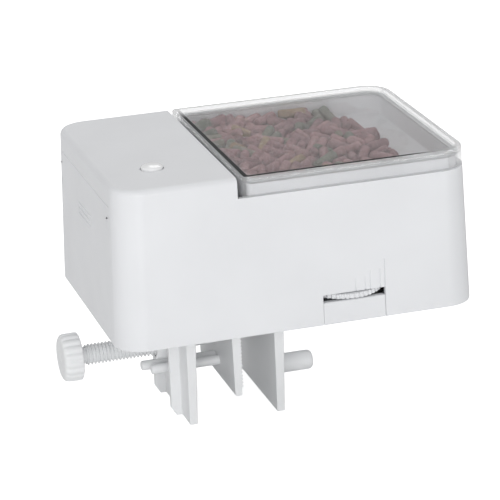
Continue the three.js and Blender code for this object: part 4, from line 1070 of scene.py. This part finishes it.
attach(screw, "screw")
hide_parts("clamp_screw")

# ---------------------------------------------------------------- clamp knob
# A round ABS knob pressed on the screw, with soft flutes for the fingers and a slightly domed
# outer face round a shallow dimple.
KNOB_FLUTES, KNOB_FLUTE_DEPTH = 18, 0.42
KNOB_OUTER = KNOB_X - KNOB_LENGTH
SOCKET_X = KNOB_OUTER + 3 - GAP  # where the hole for the screw's core ends
knob_profile = [(CORE_RADIUS + GAP, SOCKET_X), (CORE_RADIUS + GAP, KNOB_X)]
for under, along in ((1.2, 0), (0.4, 0.15), (0.08, 0.45), (0, 0.9), (0, 3.4)):
    knob_profile.append((KNOB_RADIUS - under, KNOB_X - along))
for under, along in ((0.05, 1.9), (0.3, 1.1), (0.8, 0.5), (1.6, 0.15), (3.0, 0)):
    knob_profile.append((KNOB_RADIUS - under, KNOB_OUTER + along))
knob_profile += [(2.6, KNOB_OUTER + 0.12), (1.6, KNOB_OUTER + 0.5), (0, KNOB_OUTER + 0.6)]
knob = turned("clamp_grip", knob_profile, *SCREW_AXIS, sides=KNOB_FLUTES * 10)


def knob_share(p):
    """None of the flutes' depth 1.4 mm inside the rim, and all of it from 0.2 mm inside."""
    out = math.hypot(p.y - CLAMP_Y, p.z - SCREW_Z)
    return min(1.0, max(0.0, (out - (KNOB_RADIUS - 1.4)) / 1.2))


marked_rim(knob, knob_share)
flutes = {"Count": KNOB_FLUTES, "Depth": KNOB_FLUTE_DEPTH, "Along X": True}
made_by(knob, fluting, {**flutes, "Centre": (0.0, CLAMP_Y, SCREW_Z)})
softened(knob, limit=60)
dressed(knob, clamp_white)
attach(knob, "screw")
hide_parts("clamp_knob")

# ---------------------------------------------------------------- screws
# Zinc-plated self-tapping pan heads with a cross recess: four hold the base, four the clamp.
def metal(name, dark, bright, patch_mm, dull, polished, roughness=0.5):
    """A metal with darker, duller patches about patch_mm across."""
    material, tree, shader = new_material(name)
    patches = noise_in(tree, patch_mm, 4, roughness)
    rough = ranged(tree, patches, 0.3, 0.7, dull, polished)
    colour = coloured_by(tree, patches, [(0, dark), (1, bright)])
    fed(shader, {"Metallic": 1.0, "Base Color": colour, "Roughness": rough})
    return material


zinc = metal("zinc_plate", (0.48, 0.48, 0.47), (0.66, 0.67, 0.68), 3.5, 0.42, 0.26, roughness=0.6)


def screw_shape(length, head):
    """A pan-head screw standing on its head's underside, with its shank up."""
    profile = [(0, -head), (HEAD_RADIUS * 0.6, -head), (HEAD_RADIUS * 0.9, -head * 0.7)]
    profile += [(HEAD_RADIUS, -head * 0.25), (HEAD_RADIUS, 0), (SCREW_RADIUS, 0)]
    for i in range(int(length / 0.5)):
        profile += [(SCREW_RADIUS, 0.25 + 0.5 * i), (SCREW_RADIUS - 0.28, 0.5 + 0.5 * i)]
    profile.append((0, length))
    shape = turned("screw_shape", profile, "z", (0, 0), sides=20)
    for w, d in ((1.3, 0.28), (0.28, 1.3)):
        cut(shape, [block(-w, w, -d, d, -head - 1, -head * 0.35)])
    return softened(shape)


for name, places, z, length, head in (
    ("base_screws", BASE_SCREWS, BASE_UNDER + 0.6, 9, 1.0),
    ("bracket_screws", BRACKET_SCREWS, BRACKET_UNDER + 1.5, 5, 1.2),
):
    nodes = [f"{name[:-1]}_{i}" for i in (1, 2, 3, 4)]
    mesh = bpy.data.meshes.new(name)
    mesh.from_pydata([(x, y, z) for x, y in places], [], [])
    for attribute in ("turn", "size"):
        mesh.attributes.new(attribute, "FLOAT_VECTOR", "POINT")
    for i in range(len(places)):
        mesh.attributes["turn"].data[i].vector = (0, 0, 0.7 * i)
        mesh.attributes["size"].data[i].vector = (1, 1, 1)
    screws = in_scene(name, mesh)
    shape = screw_shape(length, head)
    made_by(screws, scatter, {"Shape": shape, "Material": zinc})
    bpy.data.objects.remove(shape)
    screws.data.transform(TO_FRAME)
    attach(screws, "root")
    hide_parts(*nodes)

# ---------------------------------------------------------------- drive, board and cells
# The parts inside keep their CAD shapes: board and chip, holder and cells with their contacts,
# gear frame, motor, gears, drum and its housing, and the outlet chute.
black_finish = {"dull": 0.5, "polished": 0.35, "clouding": 0.2}
board_finish = {"dull": 0.3, "polished": 0.22, "clouding": 0.25, "grain_mm": 0.004}
black_plastic = moulded("black_plastic", (0.025, 0.025, 0.028), **black_finish)
acetal = moulded("acetal", (0.78, 0.75, 0.66), dull=0.38, polished=0.28, clouding=0.06)
solder_mask = moulded("solder_mask", (0.03, 0.20, 0.09), **board_finish)
brass = metal("brass", (0.45, 0.30, 0.12), (0.66, 0.48, 0.22), 2.0, 0.4, 0.22)

SLEEVE_BANDS = [(0, (0.6, 0.6, 0.6)), (0.03, (0.05, 0.14, 0.30))]  # along the cell, front to back
SLEEVE_BANDS += [(0.72, (0.62, 0.45, 0.16)), (0.96, (0.6, 0.6, 0.6))]
cell_low, cell_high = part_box("battery_lower")
cell_sleeve, tree, shader = new_material("cell_sleeve")
place = {"Vector": new_node(tree, "ShaderNodeTexCoord").outputs["Object"]}
along = new_node(tree, "ShaderNodeSeparateXYZ", place).outputs["Y"]
along = ranged(tree, along, cell_low.y, cell_high.y, 0, 1)
bands = coloured_by(tree, along, SLEEVE_BANDS, "CONSTANT")
scuffs = ranged(tree, noise_in(tree, 2.5, 4, roughness=0.7), 0.35, 0.7, 0.22, 0.42)
fed(shader, {"Metallic": 0.6, "Base Color": bands, "Roughness": scuffs})

contacts = [f"contact_{kind}_{end}" for kind in ("tab", "spring") for end in ("back", "front")]
small_screws = [f"{name}_screw_{i}" for name in ("board", "frame") for i in (1, 2, 3)]
INSIDE = [
    (solder_mask, ["circuit_board"]),
    (black_plastic, ["control_chip", "tact_switch", "battery_holder", "gear_frame"]),
    (cell_sleeve, ["battery_lower", "battery_upper"]),
    (zinc, [*contacts, "feed_motor", "idler_axle", "drive_shaft", *small_screws]),
    (brass, ["motor_pinion"]),
    (acetal, ["idler_gear", "drum_gear", "feed_drum"]),
    (abs_white, ["drum_housing", "outlet_chute"]),
]
for material, names in INSIDE:
    for name in names:
        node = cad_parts[name]
        node.data.materials.clear()
        node.data.materials.append(material)

sizes = {"cad": [list(c) for c in cad_box], "visual": [list(c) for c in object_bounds()]}
